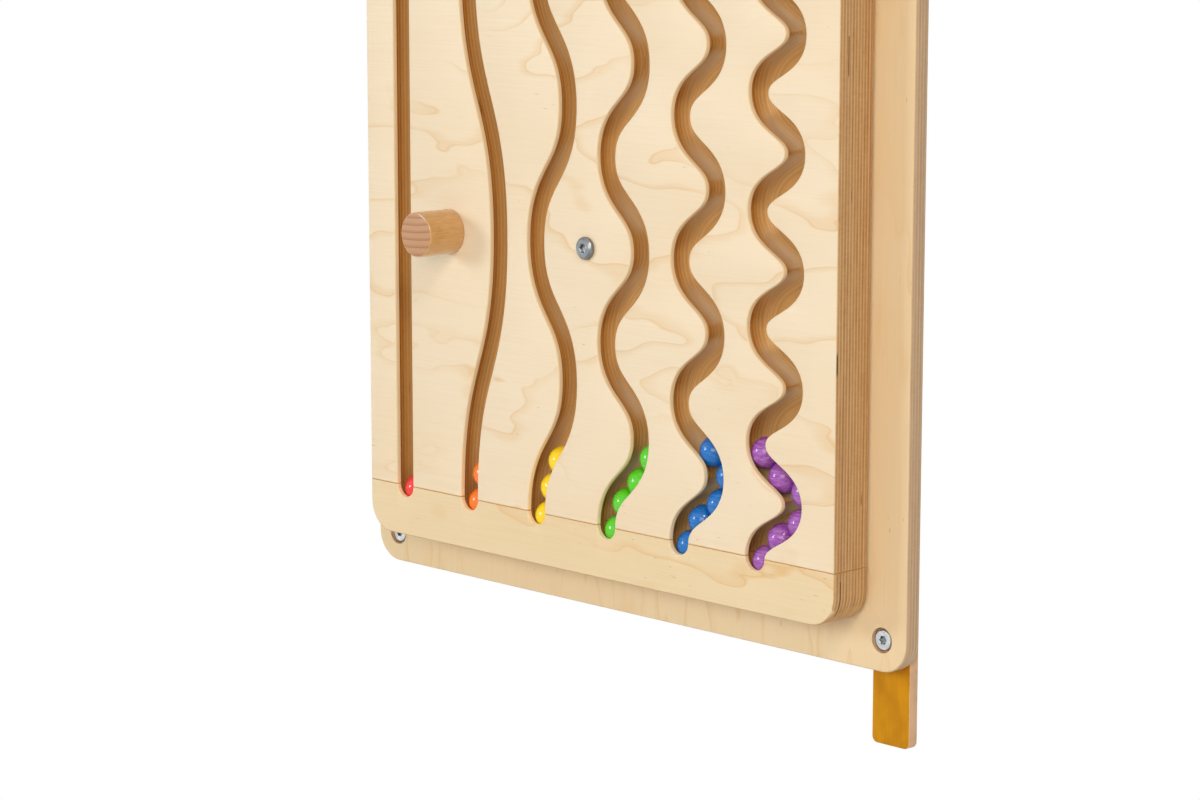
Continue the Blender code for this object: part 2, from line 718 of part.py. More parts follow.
def add_pivot(panel):
    """Bolt, nut and washers of the fixed side, and the bush in the turning board."""
    head_rear_y = BOARD_FRONT_Y - SEAT_GAP
    washer_y = BACK_REAR_Y + SEAT_GAP + NUT_WASHER_T
    nut_y = washer_y + SEAT_GAP + NUT_T
    shank_l = nut_y + PIVOT_TAIL - head_rear_y
    profile = (
        (0.0, shank_l + PIVOT_HEAD_T),
        (PIVOT_HEAD_D / 2, shank_l + PIVOT_HEAD_T),
        (PIVOT_HEAD_D / 2, shank_l),
        (PIVOT_D / 2, shank_l),
        (PIVOT_D / 2, 0.0),
        (0.0, 0.0),
    )
    hole_d = PIVOT_D + 2 * SEAT_GAP
    bolt_place = (0.0, nut_y + PIVOT_TAIL, 0.0)
    bolt = panel.add_part("pivot_bolt", turned_mesh(profile), "zinc_steel", bolt_place)
    socket = hexagon_mesh(PIVOT_SOCKET_AF, PIVOT_SOCKET_DEPTH + CUT_OVERRUN)
    socket_y = head_rear_y - PIVOT_HEAD_T + PIVOT_SOCKET_DEPTH
    panel.cut(bolt, "pivot_socket", socket, (0.0, socket_y, 0.0))
    washer = ring_mesh(NUT_WASHER_D, hole_d, NUT_WASHER_T)
    panel.add_part("pivot_washer", washer, "zinc_steel", (0.0, washer_y, 0.0))
    nut = panel.add_part("pivot_nut", hexagon_mesh(NUT_AF, NUT_T), "zinc_steel", (0.0, nut_y, 0.0))
    nut_bore = rod_mesh(hole_d, NUT_T + 2 * CUT_OVERRUN)
    panel.cut(nut, "nut_bore", nut_bore, (0.0, nut_y + CUT_OVERRUN, 0.0))
    thrust = ring_mesh(THRUST_D, hole_d, THRUST_T)
    panel.add_part("thrust_washer", thrust, "nylon", (0.0, BACK_FRONT_Y - SEAT_GAP, 0.0))
    bush = ring_mesh(bush_outer_d(), hole_d, BOARD_T)
    panel.add_part("pivot_bush", bush, "nylon", (0.0, BOARD_REAR_Y, 0.0), panel.turntable)


def add_handle(panel):
    """A dowel to turn the board by, and its screw from behind."""
    radius = HANDLE_D / 2
    rim = radius - HANDLE_CHAMFER
    profile = (
        (0.0, HANDLE_L),
        (rim, HANDLE_L),
        (radius, HANDLE_L - HANDLE_CHAMFER),
        (radius, 0.0),
        (0.0, 0.0),
    )
    place = (HANDLE_X, BOARD_FRONT_Y - SEAT_GAP, HANDLE_Z)
    handle = panel.add_part("handle", turned_mesh(profile), "beech_handle", place, panel.turntable)
    pilot = rod_mesh(HANDLE_SCREW_D + 2 * SEAT_GAP, HANDLE_SCREW_BITE + SEAT_GAP + CUT_OVERRUN)
    pilot_y = BOARD_FRONT_Y - SEAT_GAP + CUT_OVERRUN
    panel.cut(handle, "handle_pilot", pilot, (HANDLE_X, pilot_y, HANDLE_Z))
    head_rear_y = BOARD_REAR_Y - SEAT_GAP
    shank_l = head_rear_y - HANDLE_SCREW_HEAD_T - (BOARD_FRONT_Y - SEAT_GAP - HANDLE_SCREW_BITE)
    full_l = shank_l + HANDLE_SCREW_HEAD_T
    screw_profile = (
        (0.0, full_l),
        (HANDLE_SCREW_D / 2, full_l),
        (HANDLE_SCREW_D / 2, HANDLE_SCREW_HEAD_T),
        (HANDLE_SCREW_HEAD_D / 2, HANDLE_SCREW_HEAD_T),
        (HANDLE_SCREW_HEAD_D / 2, 0.0),
        (0.0, 0.0),
    )
    screw_place = (HANDLE_X, head_rear_y, HANDLE_Z)
    screw_mesh = turned_mesh(screw_profile, SMALL_TURN_STEPS)
    panel.add_part("handle_screw", screw_mesh, "zinc_steel", screw_place, panel.turntable)


def ball_mesh():
    edit = bmesh.new()
    bmesh.ops.create_uvsphere(edit, u_segments=BALL_SEGMENTS, v_segments=BALL_RINGS, radius=BALL_D / 2)
    mesh = bpy.data.meshes.new("ball")
    edit.to_mesh(mesh)
    edit.free()
    return mesh


def add_balls(panel):
    """The balls at the tracks' lower ends, each under an empty on the axis that it rolls about."""
    for track, colour in enumerate(TRACK_BALLS):
        for number, centre in enumerate(resting_centres(track), 1):
            if track == 0:
                place = (track_x(track) + centre.x, BALL_Y, centre.y)
                panel.add_part("red_ball", ball_mesh(), colour, place, panel.turntable)
                continue
            name = f"{colour}_ball_{number}"
            axis, _ = roll_arc(track, centre, BALL_TRAVELS[track][number - 1])
            axis_place = (track_x(track) + axis.x, BALL_Y, axis.y)
            roller = panel.add_empty(name + "_axis", axis_place, panel.turntable)
            place = (centre.x - axis.x, 0.0, centre.y - axis.y)
            panel.add_part(name, ball_mesh(), colour, place, roller)


def main():
    clear_scene()
    panel = Panel()
    add_back_board(panel)
    add_corner_screws(panel)
    add_spacers(panel)
    lands = add_track_board(panel)
    strips = (add_end_strip(panel, "bottom_end_strip", -1), add_end_strip(panel, "top_end_strip", 1))
    cut_tracks(panel, strips)
    add_dowels(panel, lands, strips)
    add_pivot(panel)
    add_handle(panel)
    add_balls(panel)


main()
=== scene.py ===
"""Wall activity panel: its boards, tracks, balls, handle and fixings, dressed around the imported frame.

Metres, +X to the right, +Y into the wall, +Z up. The board's front faces -Y.
"""

import json
from math import cos, pi, radians, sin, tan

import bmesh
import bpy
import numpy as np
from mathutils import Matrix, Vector

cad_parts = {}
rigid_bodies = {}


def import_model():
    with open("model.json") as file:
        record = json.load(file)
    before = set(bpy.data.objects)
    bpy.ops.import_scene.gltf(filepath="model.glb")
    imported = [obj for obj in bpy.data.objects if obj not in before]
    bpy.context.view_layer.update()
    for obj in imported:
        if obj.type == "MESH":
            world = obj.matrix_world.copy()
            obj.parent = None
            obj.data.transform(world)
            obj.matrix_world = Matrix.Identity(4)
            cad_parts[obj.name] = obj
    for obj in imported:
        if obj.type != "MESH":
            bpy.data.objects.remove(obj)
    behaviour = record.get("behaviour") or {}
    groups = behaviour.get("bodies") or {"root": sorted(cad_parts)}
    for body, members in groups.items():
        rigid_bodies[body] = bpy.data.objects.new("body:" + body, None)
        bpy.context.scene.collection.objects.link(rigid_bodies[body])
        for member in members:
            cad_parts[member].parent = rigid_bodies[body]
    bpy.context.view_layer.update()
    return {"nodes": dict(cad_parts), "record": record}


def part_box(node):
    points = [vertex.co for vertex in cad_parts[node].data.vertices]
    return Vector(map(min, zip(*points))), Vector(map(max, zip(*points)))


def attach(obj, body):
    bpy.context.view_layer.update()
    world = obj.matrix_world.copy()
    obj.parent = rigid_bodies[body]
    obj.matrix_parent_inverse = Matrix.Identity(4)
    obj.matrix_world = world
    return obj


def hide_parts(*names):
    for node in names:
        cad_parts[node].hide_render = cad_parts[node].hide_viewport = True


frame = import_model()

bl_info = {
    "name": "Wall Activity Panel",
    "version": (1, 0, 0),
    "blender": (4, 5, 0),
    "location": "3D View > Sidebar > Wall Panel",
    "description": "Builds a wooden wall panel with wavy ball tracks around its CAD frame",
    "category": "Add Mesh",
}

BODIES = frame["record"]["behaviour"]["bodies"]
BOARD_NODES = ["track_floor"] + [f"track_land_{number}" for number in range(1, 8)]
BOARD_LOW, BOARD_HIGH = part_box("track_land_1")[0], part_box("track_floor")[1]
BOARD_THICKNESS = BOARD_HIGH.y - BOARD_LOW.y
BACK_LOW, BACK_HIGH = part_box("back_board")
STRIP_LOW, STRIP_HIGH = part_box("bottom_end_strip")
TRACK_COLOURS = ("red", "orange", "yellow", "green", "blue", "purple")
CORNERS = ("lower_left", "lower_right", "upper_left", "upper_right")

# Radii of the holes for the pivot's bolt and the corner screws, and of a socket across its flats
BOLT_HOLE = 0.0043
SCREW_HOLE = 0.0028
SOCKET_FLAT = 0.0025
SHARP_ANGLE = 32
CUT_OVERRUN = 0.001


def length(name, description, default):
    """A length in metres that the sidebar shows."""
    return bpy.props.FloatProperty(
        name=name, description=description, default=default, min=0.0, precision=5,
        subtype="DISTANCE", unit="LENGTH",
    )


def colour(name, description, default):
    """A scene-linear colour that the sidebar shows."""
    return bpy.props.FloatVectorProperty(
        name=name, description=description, default=default, min=0.0, max=1.0, size=3, subtype="COLOR",
    )


class WallPanelSizes(bpy.types.PropertyGroup):
    """Sizes of the tracks, rims and fixings."""

    track_length: length("Track length", "From one end's centre to the other's", 0.360)
    track_pitch: length("Track pitch", "From one track's first line to the next", 0.0656)
    track_swing: length("Track swing", "How far a wave swings to the right", 0.0304)
    wave_fullness: bpy.props.FloatProperty(
        name="Wave fullness", description="How far each bend keeps straight on, as a share of the half wave",
        default=0.52, min=0.1, max=0.9, subtype="FACTOR",
    )
    mouth_width: length("Mouth width", "Width of a track at the face", 0.0165)
    cavity_width: length("Cavity width", "Width of a track behind its lips", 0.028)
    lip_thickness: length("Lip thickness", "Thickness of the wood that holds the balls in", 0.0035)
    cavity_depth: length("Cavity depth", "Depth of a track behind its lips", 0.0215)
    cavity_corner: length("Cavity corner", "Radius at the foot of a track's wall", 0.0090)
    lip_corner: length("Lip corner", "Radius between a track's wall and the lip's underside", 0.0030)
    rim_round: length("Rim rounding", "Radius of the tracks' rims", 0.0007)
    edge_round: length("Edge rounding", "Radius of the boards' edges", 0.0015)
    seam_groove: length("Seam groove", "Chamfer at each side of a seam", 0.00030)
    corner_radius: length("Corner radius", "Radius of the boards' corners", 0.020)
    ply_thickness: length("Ply thickness", "Thickness of one veneer", 0.00136)
    counterbore: length("Counterbore", "Diameter of the sunk holes in the back board", 0.016)
    counterbore_depth: length("Counterbore depth", "Depth of the sunk holes", 0.0045)


class WallPanelColours(bpy.types.PropertyGroup):
    """Colours of the woods, stains, lacquers and metal, and of the painted light and shade inside the tracks.
    """

    face: colour("Face", "Birch veneer of the track board", (0.850, 0.700, 0.510))
    figure: colour("Figure", "Darker lines of the veneer", (0.720, 0.420, 0.150))
    strip: colour("Strip", "Birch veneer of the end strips", (0.820, 0.640, 0.405))
    back: colour("Back board", "Birch veneer of the back board", (0.820, 0.630, 0.390))
    back_edge: colour("Back board's edge", "Pale veil over the back board's edge", (0.800, 0.690, 0.560))
    fleck: colour("Fleck", "Small marks in the veneer", (0.420, 0.200, 0.070))
    ply_light: colour("Light ply", "Plies cut along their grain", (0.700, 0.455, 0.225))
    ply_dark: colour("Dark ply", "Plies cut across their grain", (0.440, 0.205, 0.070))
    # Painted highlight: the lip's pale colour stands in for lamp light falling on the lip's wall.
    lit_lip_wall: colour("Lip", "Pale wood of a track's lip", (1.000, 0.790, 0.500))
    # Painted shade, not a tint left by the cutter: this darker tint stands in for the shadow that the lip
    # casts on the wall below it.
    shade_under_lip: colour("Burnished wall", "Tint left by the cutter below a track's lip", (1.000, 0.780, 0.350))
    # Painted light: this paler tint stands in for lamp light reaching the wall near a track's floor.
    lit_deep_wall: colour("Deep wall", "Tint of a track's wall near its floor", (1.000, 0.860, 0.540))
    beech_side: colour("Beech side", "Handle along its grain", (0.670, 0.360, 0.126))
    beech_end: colour("Beech end", "Handle across its grain", (0.530, 0.255, 0.098))
    stain: colour("Stain", "Ochre face of the hanging tag", (0.620, 0.270, 0.006))
    tag_wood: colour("Tag wood", "Unstained sides of the hanging tag", (0.860, 0.560, 0.340))
    bright_zinc: colour("Bright zinc", "Corner screws", (0.720, 0.730, 0.730))
    zinc: colour("Zinc", "Bolt, nut and washer", (0.265, 0.270, 0.268))
    nylon: colour("Nylon", "Bush and thrust washer", (0.800, 0.790, 0.740))
    red: colour("Red", "Ball of the straight track", (0.900, 0.045, 0.040))
    orange: colour("Orange", "Balls of the second track", (0.950, 0.190, 0.012))
    yellow: colour("Yellow", "Balls of the third track", (0.980, 0.660, 0.012))
    green: colour("Green", "Balls of the fourth track", (0.100, 0.600, 0.010))
    blue: colour("Blue", "Balls of the fifth track", (0.001, 0.150, 0.510))
    purple: colour("Purple", "Balls of the sixth track", (0.320, 0.060, 0.410))
    floor: colour("Floor", "Pale floor below the panel", (0.900, 0.900, 0.900))


# Surfaces


def grid_quads(rows, columns, close_rows=False, close_columns=False, first=0):
    """Faces between neighbouring points of a rows x columns grid, wrapped where it closes."""
    row = np.arange(rows if close_rows else rows - 1)[:, None]
    column = np.arange(columns if close_columns else columns - 1)[None, :]
    next_row, next_column = (row + 1) % rows, (column + 1) % columns
    corners = (
        row * columns + column,
        row * columns + next_column,
        next_row * columns + next_column,
        next_row * columns + column,
    )
    return first + np.stack(np.broadcast_arrays(*corners), axis=-1).reshape(-1, 4)


def finish_mesh(mesh):
    """Merge doubled points, turn the faces outwards and shade smooth between sharp edges."""
    edit = bmesh.new()
    edit.from_mesh(mesh)
    bmesh.ops.remove_doubles(edit, verts=edit.verts, dist=1e-6)
    bmesh.ops.recalc_face_normals(edit, faces=edit.faces)
    edit.to_mesh(mesh)
    edit.free()
    mesh.shade_smooth()
    mesh.set_sharp_from_angle(angle=radians(SHARP_ANGLE))
    return mesh


def make_mesh(name, points, quads, caps=()):
    """A closed mesh of a point array, its quads and its many-sided caps."""
    mesh = bpy.data.meshes.new(name)
    faces = quads.tolist() + [list(map(int, cap)) for cap in caps]
    mesh.from_pydata(points.reshape(-1, 3).tolist(), [], faces)
    return finish_mesh(mesh)


def add_piece(name, mesh, material, body, nodes):
    """An object of that mesh which rides on a body and stands for CAD nodes."""
    piece = bpy.data.objects.new(name, mesh)
    bpy.context.scene.collection.objects.link(piece)
    mesh.materials.clear()
    mesh.materials.append(material)
    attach(piece, body)
    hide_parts(*nodes)
    return piece


def body_of(node):
    """The body that the record gives a CAD node."""
    return next(body for body, nodes in BODIES.items() if node in nodes)


def axis_of(node):
    """The x and z of the line along Y through the middle of a CAD node."""
    low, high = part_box(node)
    return (low.x + high.x) / 2, (low.z + high.z) / 2


def quarter_round(radius, steps):
    """How far a quarter round stands in from the side, and how deep it lies, from side to face.

    They are the radius times 1 less the cosine, and times 1 less the sine, up to 90 degrees.
    """
    turn = np.linspace(0.0, pi / 2, steps)
    return radius * (1 - np.cos(turn)), radius * (1 - np.sin(turn))


def rounded_outline(half_w, low, high, radius, corner_steps=14, side_steps=14):
    """Points (x, z) and outward normals around a rectangle with round corners.

    Each corner is a quarter circle, and between two corners the points are spread evenly.
    """
    turn = np.linspace(0.0, pi / 2, corner_steps)
    points, normals = [], []
    centres = ((half_w - radius, high - radius), (radius - half_w, high - radius),
               (radius - half_w, low + radius), (half_w - radius, low + radius))
    for quarter, centre in enumerate(centres):
        angle = turn + quarter * pi / 2
        normal = np.stack((np.cos(angle), np.sin(angle)), axis=1)
        corner = np.array(centre) + radius * normal
        following = centres[(quarter + 1) % 4]
        end = corner[-1]
        start = np.array(following) + radius * normal[-1]
        share = np.linspace(0.0, 1.0, side_steps + 2)[1:-1, None]
        points += [corner, end + (start - end) * share]
        normals += [normal, np.repeat(normal[-1:], side_steps, axis=0)]
    return np.concatenate(points), np.concatenate(normals)


def plate_mesh(name, outline, normals, front_y, rear_y, edge_round, hole, hole_radius):
    """A plate with rounded edges and one round hole.

    Rings run from the hole's front rim over the front face, round the edges, over the rear face
    and back through the hole. A ring's points lie on the outline, moved in along its normals, or
    on the hole's circle in the same directions.
    """
    inset, depth = quarter_round(edge_round, 6)
    away = outline - np.array(hole)
    circle = np.array(hole) + hole_radius * away / np.linalg.norm(away, axis=1, keepdims=True)
    insets = np.concatenate((inset[::-1], inset))
    heights = np.concatenate((front_y + depth[::-1], rear_y - depth))
    rings = outline[None] - normals[None] * insets[:, None, None]
    rings = np.concatenate((circle[None], rings, circle[None]))
    heights = np.concatenate(([front_y], heights, [rear_y]))
    flat_y = np.repeat(heights[:, None], rings.shape[1], axis=1)
    points = np.stack((rings[..., 0], flat_y, rings[..., 1]), axis=-1)
    quads = grid_quads(*points.shape[:2], close_rows=True, close_columns=True)
    return make_mesh(name, points, quads)


def ring_angles(steps):
    """A whole turn in even steps."""
    return np.arange(steps) * 2 * pi / steps


def hexagon(steps):
    """How far out a hexagon lies at each angle, as a multiple of its radius across the flats.

    It is 1 divided by the cosine of the angle from the nearest flat's middle.
    """
    return 1 / np.cos(np.mod(ring_angles(steps), pi / 3) - pi / 6)


def turned_rings(profile, steps):
    """Rows of (radius, y) as rings: a radius for each ring and angle, and a y for each ring.

    A third value in the rows blends a ring, from round at 0 to a hexagon at 1.
    """
    profile = np.asarray(profile, dtype=float)
    share = profile[:, 2:] if profile.shape[1] > 2 else 0.0
    return profile[:, :1] * (1 + share * (hexagon(steps) - 1)), profile[:, 1]


def turned_mesh(name, radius, y, centre=(0.0, 0.0), ring=False):
    """A closed piece of rings about the Y line through centre (x, z).

    A point lies at its radius times the cosine and the sine of its angle. The first and last ring
    lie on the axis, or meet each other if the piece is itself a ring.
    """
    angle = ring_angles(radius.shape[1])
    x = centre[0] + radius * np.cos(angle)
    z = centre[1] + radius * np.sin(angle)
    points = np.stack((x, np.broadcast_to(y[:, None], x.shape), z), axis=-1)
    return make_mesh(name, points, grid_quads(*x.shape, close_rows=ring, close_columns=True))


def cut_holes(mesh, cutters):
    """Cut closed meshes out of a mesh, and return what is left."""
    scene = bpy.context.scene.collection.objects
    solid = bpy.data.objects.new("solid", mesh)
    scene.link(solid)
    tools = []
    for cutter in cutters:
        tool = bpy.data.objects.new("tool", cutter)
        scene.link(tool)
        tools.append(tool)
        cut = solid.modifiers.new("cut", "BOOLEAN")
        cut.operation = "DIFFERENCE"
        cut.solver = "EXACT"
        cut.object = tool
    bpy.context.view_layer.update()
    evaluated = solid.evaluated_get(bpy.context.evaluated_depsgraph_get())
    cut_mesh = bpy.data.meshes.new_from_object(evaluated)
    for obj in (solid, *tools):
        bpy.data.objects.remove(obj, do_unlink=True)
    cut_mesh.name = mesh.name
    return finish_mesh(cut_mesh)


# Tracks


def track_x(track, sizes):
    """The x of a track's first line. The lines stand a pitch apart, and their whole width is centred."""
    first = -(sizes.track_pitch * (len(TRACK_COLOURS) - 1) + sizes.track_swing) / 2
    return first + sizes.track_pitch * track


def track_line(waves, sizes):
    """The centre line of a track, from low to high, as x from its first line and z.

    Each half wave is a cubic curve whose handles point along Z: x eases from one side to the other
    as 3t^2 - 2t^3, and z rises as the cubic with its handles at the fullness's share of the rise.
    """
    half_waves = max(1, 2 * waves)
    rise = sizes.track_length / half_waves
    t = np.linspace(0.0, 1.0, 1600 // half_waves)
    number = np.arange(half_waves)[:, None]
    swing = sizes.track_swing if waves else 0.0
    ease = 3 * t ** 2 - 2 * t ** 3
    start, end = number % 2, (number + 1) % 2
    full = sizes.wave_fullness
    climb = 3 * full * t * (1 - t) ** 2 + 3 * (1 - full) * t ** 2 * (1 - t) + t ** 3
    x = swing * (start + (end - start) * ease)
    z = (number + climb) * rise - sizes.track_length / 2
    return x.ravel(), z.ravel()


def slot_edge(track, side, reach, z, sizes):
    """The x of a slot's edge at each z: the furthest point, on that side, of discs along its line."""
    line_x, line_z = track_line(track, sizes)
    square = reach ** 2 - (z[:, None] - line_z[None]) ** 2
    bulge = np.where(square > 0, np.sqrt(np.maximum(square, 0.0)), -np.inf)
    return track_x(track, sizes) + side * np.max(side * line_x[None] + bulge, axis=1)


def slot_profile(sizes):
    """A slot's half width and depth, from its rounded rim under the lip and down to the floor."""
    inset, depth = quarter_round(sizes.rim_round, 4)
    half_mouth, half_cavity = sizes.mouth_width / 2, sizes.cavity_width / 2
    lip, floor = sizes.lip_thickness, sizes.lip_thickness + sizes.cavity_depth
    lip_in, lip_down = quarter_round(sizes.lip_corner, 4)
    foot_in, foot_up = quarter_round(sizes.cavity_corner, 6)
    mouth, wall, foot = half_mouth + inset[::-1], half_cavity - lip_in[::-1], half_cavity - foot_in
    reach = np.concatenate((mouth, [half_mouth], wall, foot))
    deep = np.concatenate((depth[::-1], [lip], lip + lip_down[::-1], floor - foot_up))
    return reach, deep


def board_mesh(sizes):
    """The track board between its seams: one closed section of the board, carried up along Z.

    The section runs over the face and down into each slot and out again, then back over the rear.
    A slit in both faces opens into the pivot's hole where z is less than the hole's radius.
    """
    seam, half_w, thickness, groove = BOARD_HIGH.z, BOARD_HIGH.x, BOARD_THICKNESS, sizes.seam_groove
    bush_low, bush_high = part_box("pivot_bush")
    clearance = 0.0003
    hole = (bush_high.x - bush_low.x) / 2 + clearance
    rows = np.concatenate((
        [-seam], np.linspace(groove - seam, seam - groove, 421), [seam],
        hole * np.sin(np.linspace(-pi / 2, pi / 2, 25)),
    ))
    z = np.unique(np.round(rows, 7))
    slit = np.sqrt(np.maximum(hole ** 2 - z ** 2, 0.0))
    edge = list(zip(*quarter_round(sizes.edge_round, 5)))
    slot = list(zip(*slot_profile(sizes)))

    section = [(step - half_w, down) for step, down in edge]
    for track in range(len(TRACK_COLOURS)):
        if track == len(TRACK_COLOURS) // 2:
            front_slit = len(section)
            section += [(-slit, 0.0), (slit, 0.0)]
        section += [(slot_edge(track, -1, out, z, sizes), down) for out, down in slot]
        section += [(slot_edge(track, 1, out, z, sizes), down) for out, down in slot[::-1]]
    section += [(half_w - step, down) for step, down in edge[::-1]]
    section += [(half_w - step, thickness - down) for step, down in edge]
    rear_slit = len(section)
    section += [(slit, thickness), (-slit, thickness)]
    section += [(step - half_w, thickness - down) for step, down in edge[::-1]]

    count = len(section)
    x = np.stack([np.broadcast_to(line, z.shape) for line, _ in section], axis=1)
    down = np.tile([deep for _, deep in section], (len(z), 1))
    for end in (0, -1):
        x[end] = np.clip(x[end], groove - half_w, half_w - groove)
        down[end] = np.clip(down[end], groove, thickness - groove)
    points = np.stack((x, BOARD_LOW.y + down, np.repeat(z[:, None], count, axis=1)), axis=-1)
    quads = grid_quads(len(z), count, close_columns=True)
    column = quads[:, 0] % count
    quads = quads[(column != front_slit) & (column != rear_slit)]
    inside = np.flatnonzero((np.abs(z[:-1]) <= hole + 1e-7) & (np.abs(z[1:]) <= hole + 1e-7)) * count
    walls = [
        np.stack((inside + front, inside + count + front, inside + count + rear, inside + rear), axis=1)
        for front, rear in ((front_slit, rear_slit + 1), (front_slit + 1, rear_slit))
    ]
    caps = (np.arange(count), np.arange(count) + (len(z) - 1) * count)
    return make_mesh("track_board_wood", points, np.concatenate((quads, *walls)), caps)


def strip_mesh(name, side, sizes):
    """An end strip: one closed section carried from its left end round to its right end.

    Each section runs from the strip's outer edge over the face to the seam, or down into the round
    end of a slot where x is inside one, then back over the rear. A slot's end lies at the square
    root of its reach squared less its distance in x squared, beyond the end of the track.
    """
    half_w, half_h, seam = STRIP_HIGH.x, -STRIP_LOW.z, -STRIP_HIGH.z
    thickness = BOARD_THICKNESS
    radius, groove = sizes.corner_radius, sizes.seam_groove
    reach, deep = slot_profile(sizes)
    turn = np.linspace(0.0, pi, 33)
    spread = np.outer((reach[0], reach[3], reach.max()), np.cos(turn)).ravel()
    centres = track_x(np.arange(len(TRACK_COLOURS)), sizes)
    marks = (centres[:, None] + spread[None]).ravel()
    even = np.linspace(radius - half_w, half_w - radius, 25)
    x = np.unique(np.round(np.concatenate((marks, even)), 6))

    corner = np.linspace(0.0, pi / 2, 13)[:-1]
    end_x = np.stack((-np.cos(corner), -np.sin(corner)), axis=1)
    left = np.array((radius - half_w, radius - half_h)) + radius * end_x
    side_z = np.array((-seam, -seam - groove, -(seam + half_h - radius) / 2))
    left = np.concatenate((np.stack((np.full(3, -half_w), side_z), axis=1), left))
    left_normal = np.concatenate((np.tile((-1.0, 0.0), (3, 1)), end_x))
    flip = np.array((-1.0, 1.0))
    bottom = np.stack((x, np.full(len(x), -half_h)), axis=1)
    outer = np.concatenate((left, bottom, left[::-1] * flip))
    down_normal = np.tile((0.0, -1.0), (len(x), 1))
    normal = np.concatenate((left_normal, down_normal, left_normal[::-1] * flip))
    edge = sizes.edge_round
    start = np.linspace(edge - half_w, radius - half_w, len(left), endpoint=False)
    inner_x = np.concatenate((start, x, -start[::-1]))
    end_inset = np.zeros(len(outer))
    end_inset[[0, -1]] = groove

    inset, depth = quarter_round(edge, 5)
    loops = []

    def add_outer(step, down):
        at = outer - normal * (step + end_inset)[:, None]
        loops.append(np.stack((at[:, 0], np.full(len(at), down), at[:, 1]), axis=1))

    def add_inner(z, down):
        loops.append(np.stack((inner_x, np.full(len(inner_x), down), z), axis=1))

    for step, down in zip(inset, depth):
        add_outer(step, down)
    nearest = np.min(np.abs(inner_x[:, None] - centres[None]), axis=1)
    flat = np.full(len(inner_x), -seam)
    for out, down in zip(reach, deep):
        drop = np.sqrt(np.maximum(out ** 2 - nearest ** 2, 0.0))
        notch = np.where(nearest < out, -sizes.track_length / 2 - drop, -seam)
        add_inner(np.minimum(notch, flat - max(0.0, groove - down)), down)
    add_inner(flat, deep[-1])
    add_inner(flat, thickness - groove)
    add_inner(flat - groove, thickness)
    for step, down in zip(inset[::-1], depth[::-1]):
        add_outer(step, thickness - down)

    points = np.stack(loops, axis=1)
    points[..., 1] += STRIP_LOW.y
    points[..., 2] *= side
    rows, columns = points.shape[:2]
    caps = (np.arange(columns), np.arange(columns) + (rows - 1) * columns)
    return make_mesh(name, points, grid_quads(rows, columns, close_columns=True), caps)


# Finishes


class Nodes:
    """Shader nodes that are added one by one to a tree."""

    def __init__(self, tree):
        self.tree = tree

    def node(self, kind, inputs, **settings):
        """A node with its settings, and its inputs linked or set, by name or number."""
        node = self.tree.nodes.new("ShaderNode" + kind)
        for setting, value in settings.items():
            setattr(node, setting, value)
        for socket, value in inputs.items():
            self.plug(value, node.inputs[socket])
        return node

    def plug(self, value, socket):
        if isinstance(value, bpy.types.NodeSocket):
            self.tree.links.new(value, socket)
        else:
            socket.default_value = value

    def math(self, operation, first, second=0.0, third=0.0):
        return self.node("Math", {0: first, 1: second, 2: third}, operation=operation).outputs[0]

    def product(self, first, second):
        return self.math("MULTIPLY", first, second)

    def gap(self, first, second):
        """The size of the difference between two values."""
        return self.math("ABSOLUTE", self.math("SUBTRACT", first, second))

    def fade(self, value, low, high, start=0.0, end=1.0):
        """Value eased from start to end as it passes from low to high."""
        inputs = {"Value": value, "From Min": low, "From Max": high, "To Min": start, "To Max": end}
        return self.node("MapRange", inputs, interpolation_type="SMOOTHSTEP").outputs[0]

    def distance(self, first, second):
        """The square root of two values' squares added up."""
        squares = self.math("ADD", self.math("POWER", first, 2.0), self.math("POWER", second, 2.0))
        return self.math("SQRT", squares)

    def seen_rays(self):
        """1 for what the camera sees, directly, mirrored or through glass, and 0 for light that falls."""
        rays = self.node("LightPath", {}).outputs
        seen = self.math("MAXIMUM", rays["Is Camera Ray"], rays["Is Glossy Ray"])
        return self.math("MAXIMUM", seen, rays["Is Transmission Ray"])

    def whiten(self, share, shader, kind, output):
        """Blend a shader with a plain white one of that kind, and link it to the output."""
        white = self.node(kind, {"Color": (1.0, 1.0, 1.0, 1.0), "Strength": 1.0})
        blend = self.node("MixShader", {0: share, 1: shader.outputs[0], 2: white.outputs[0]})
        self.plug(blend.outputs[0], self.tree.nodes[output].inputs["Surface"])


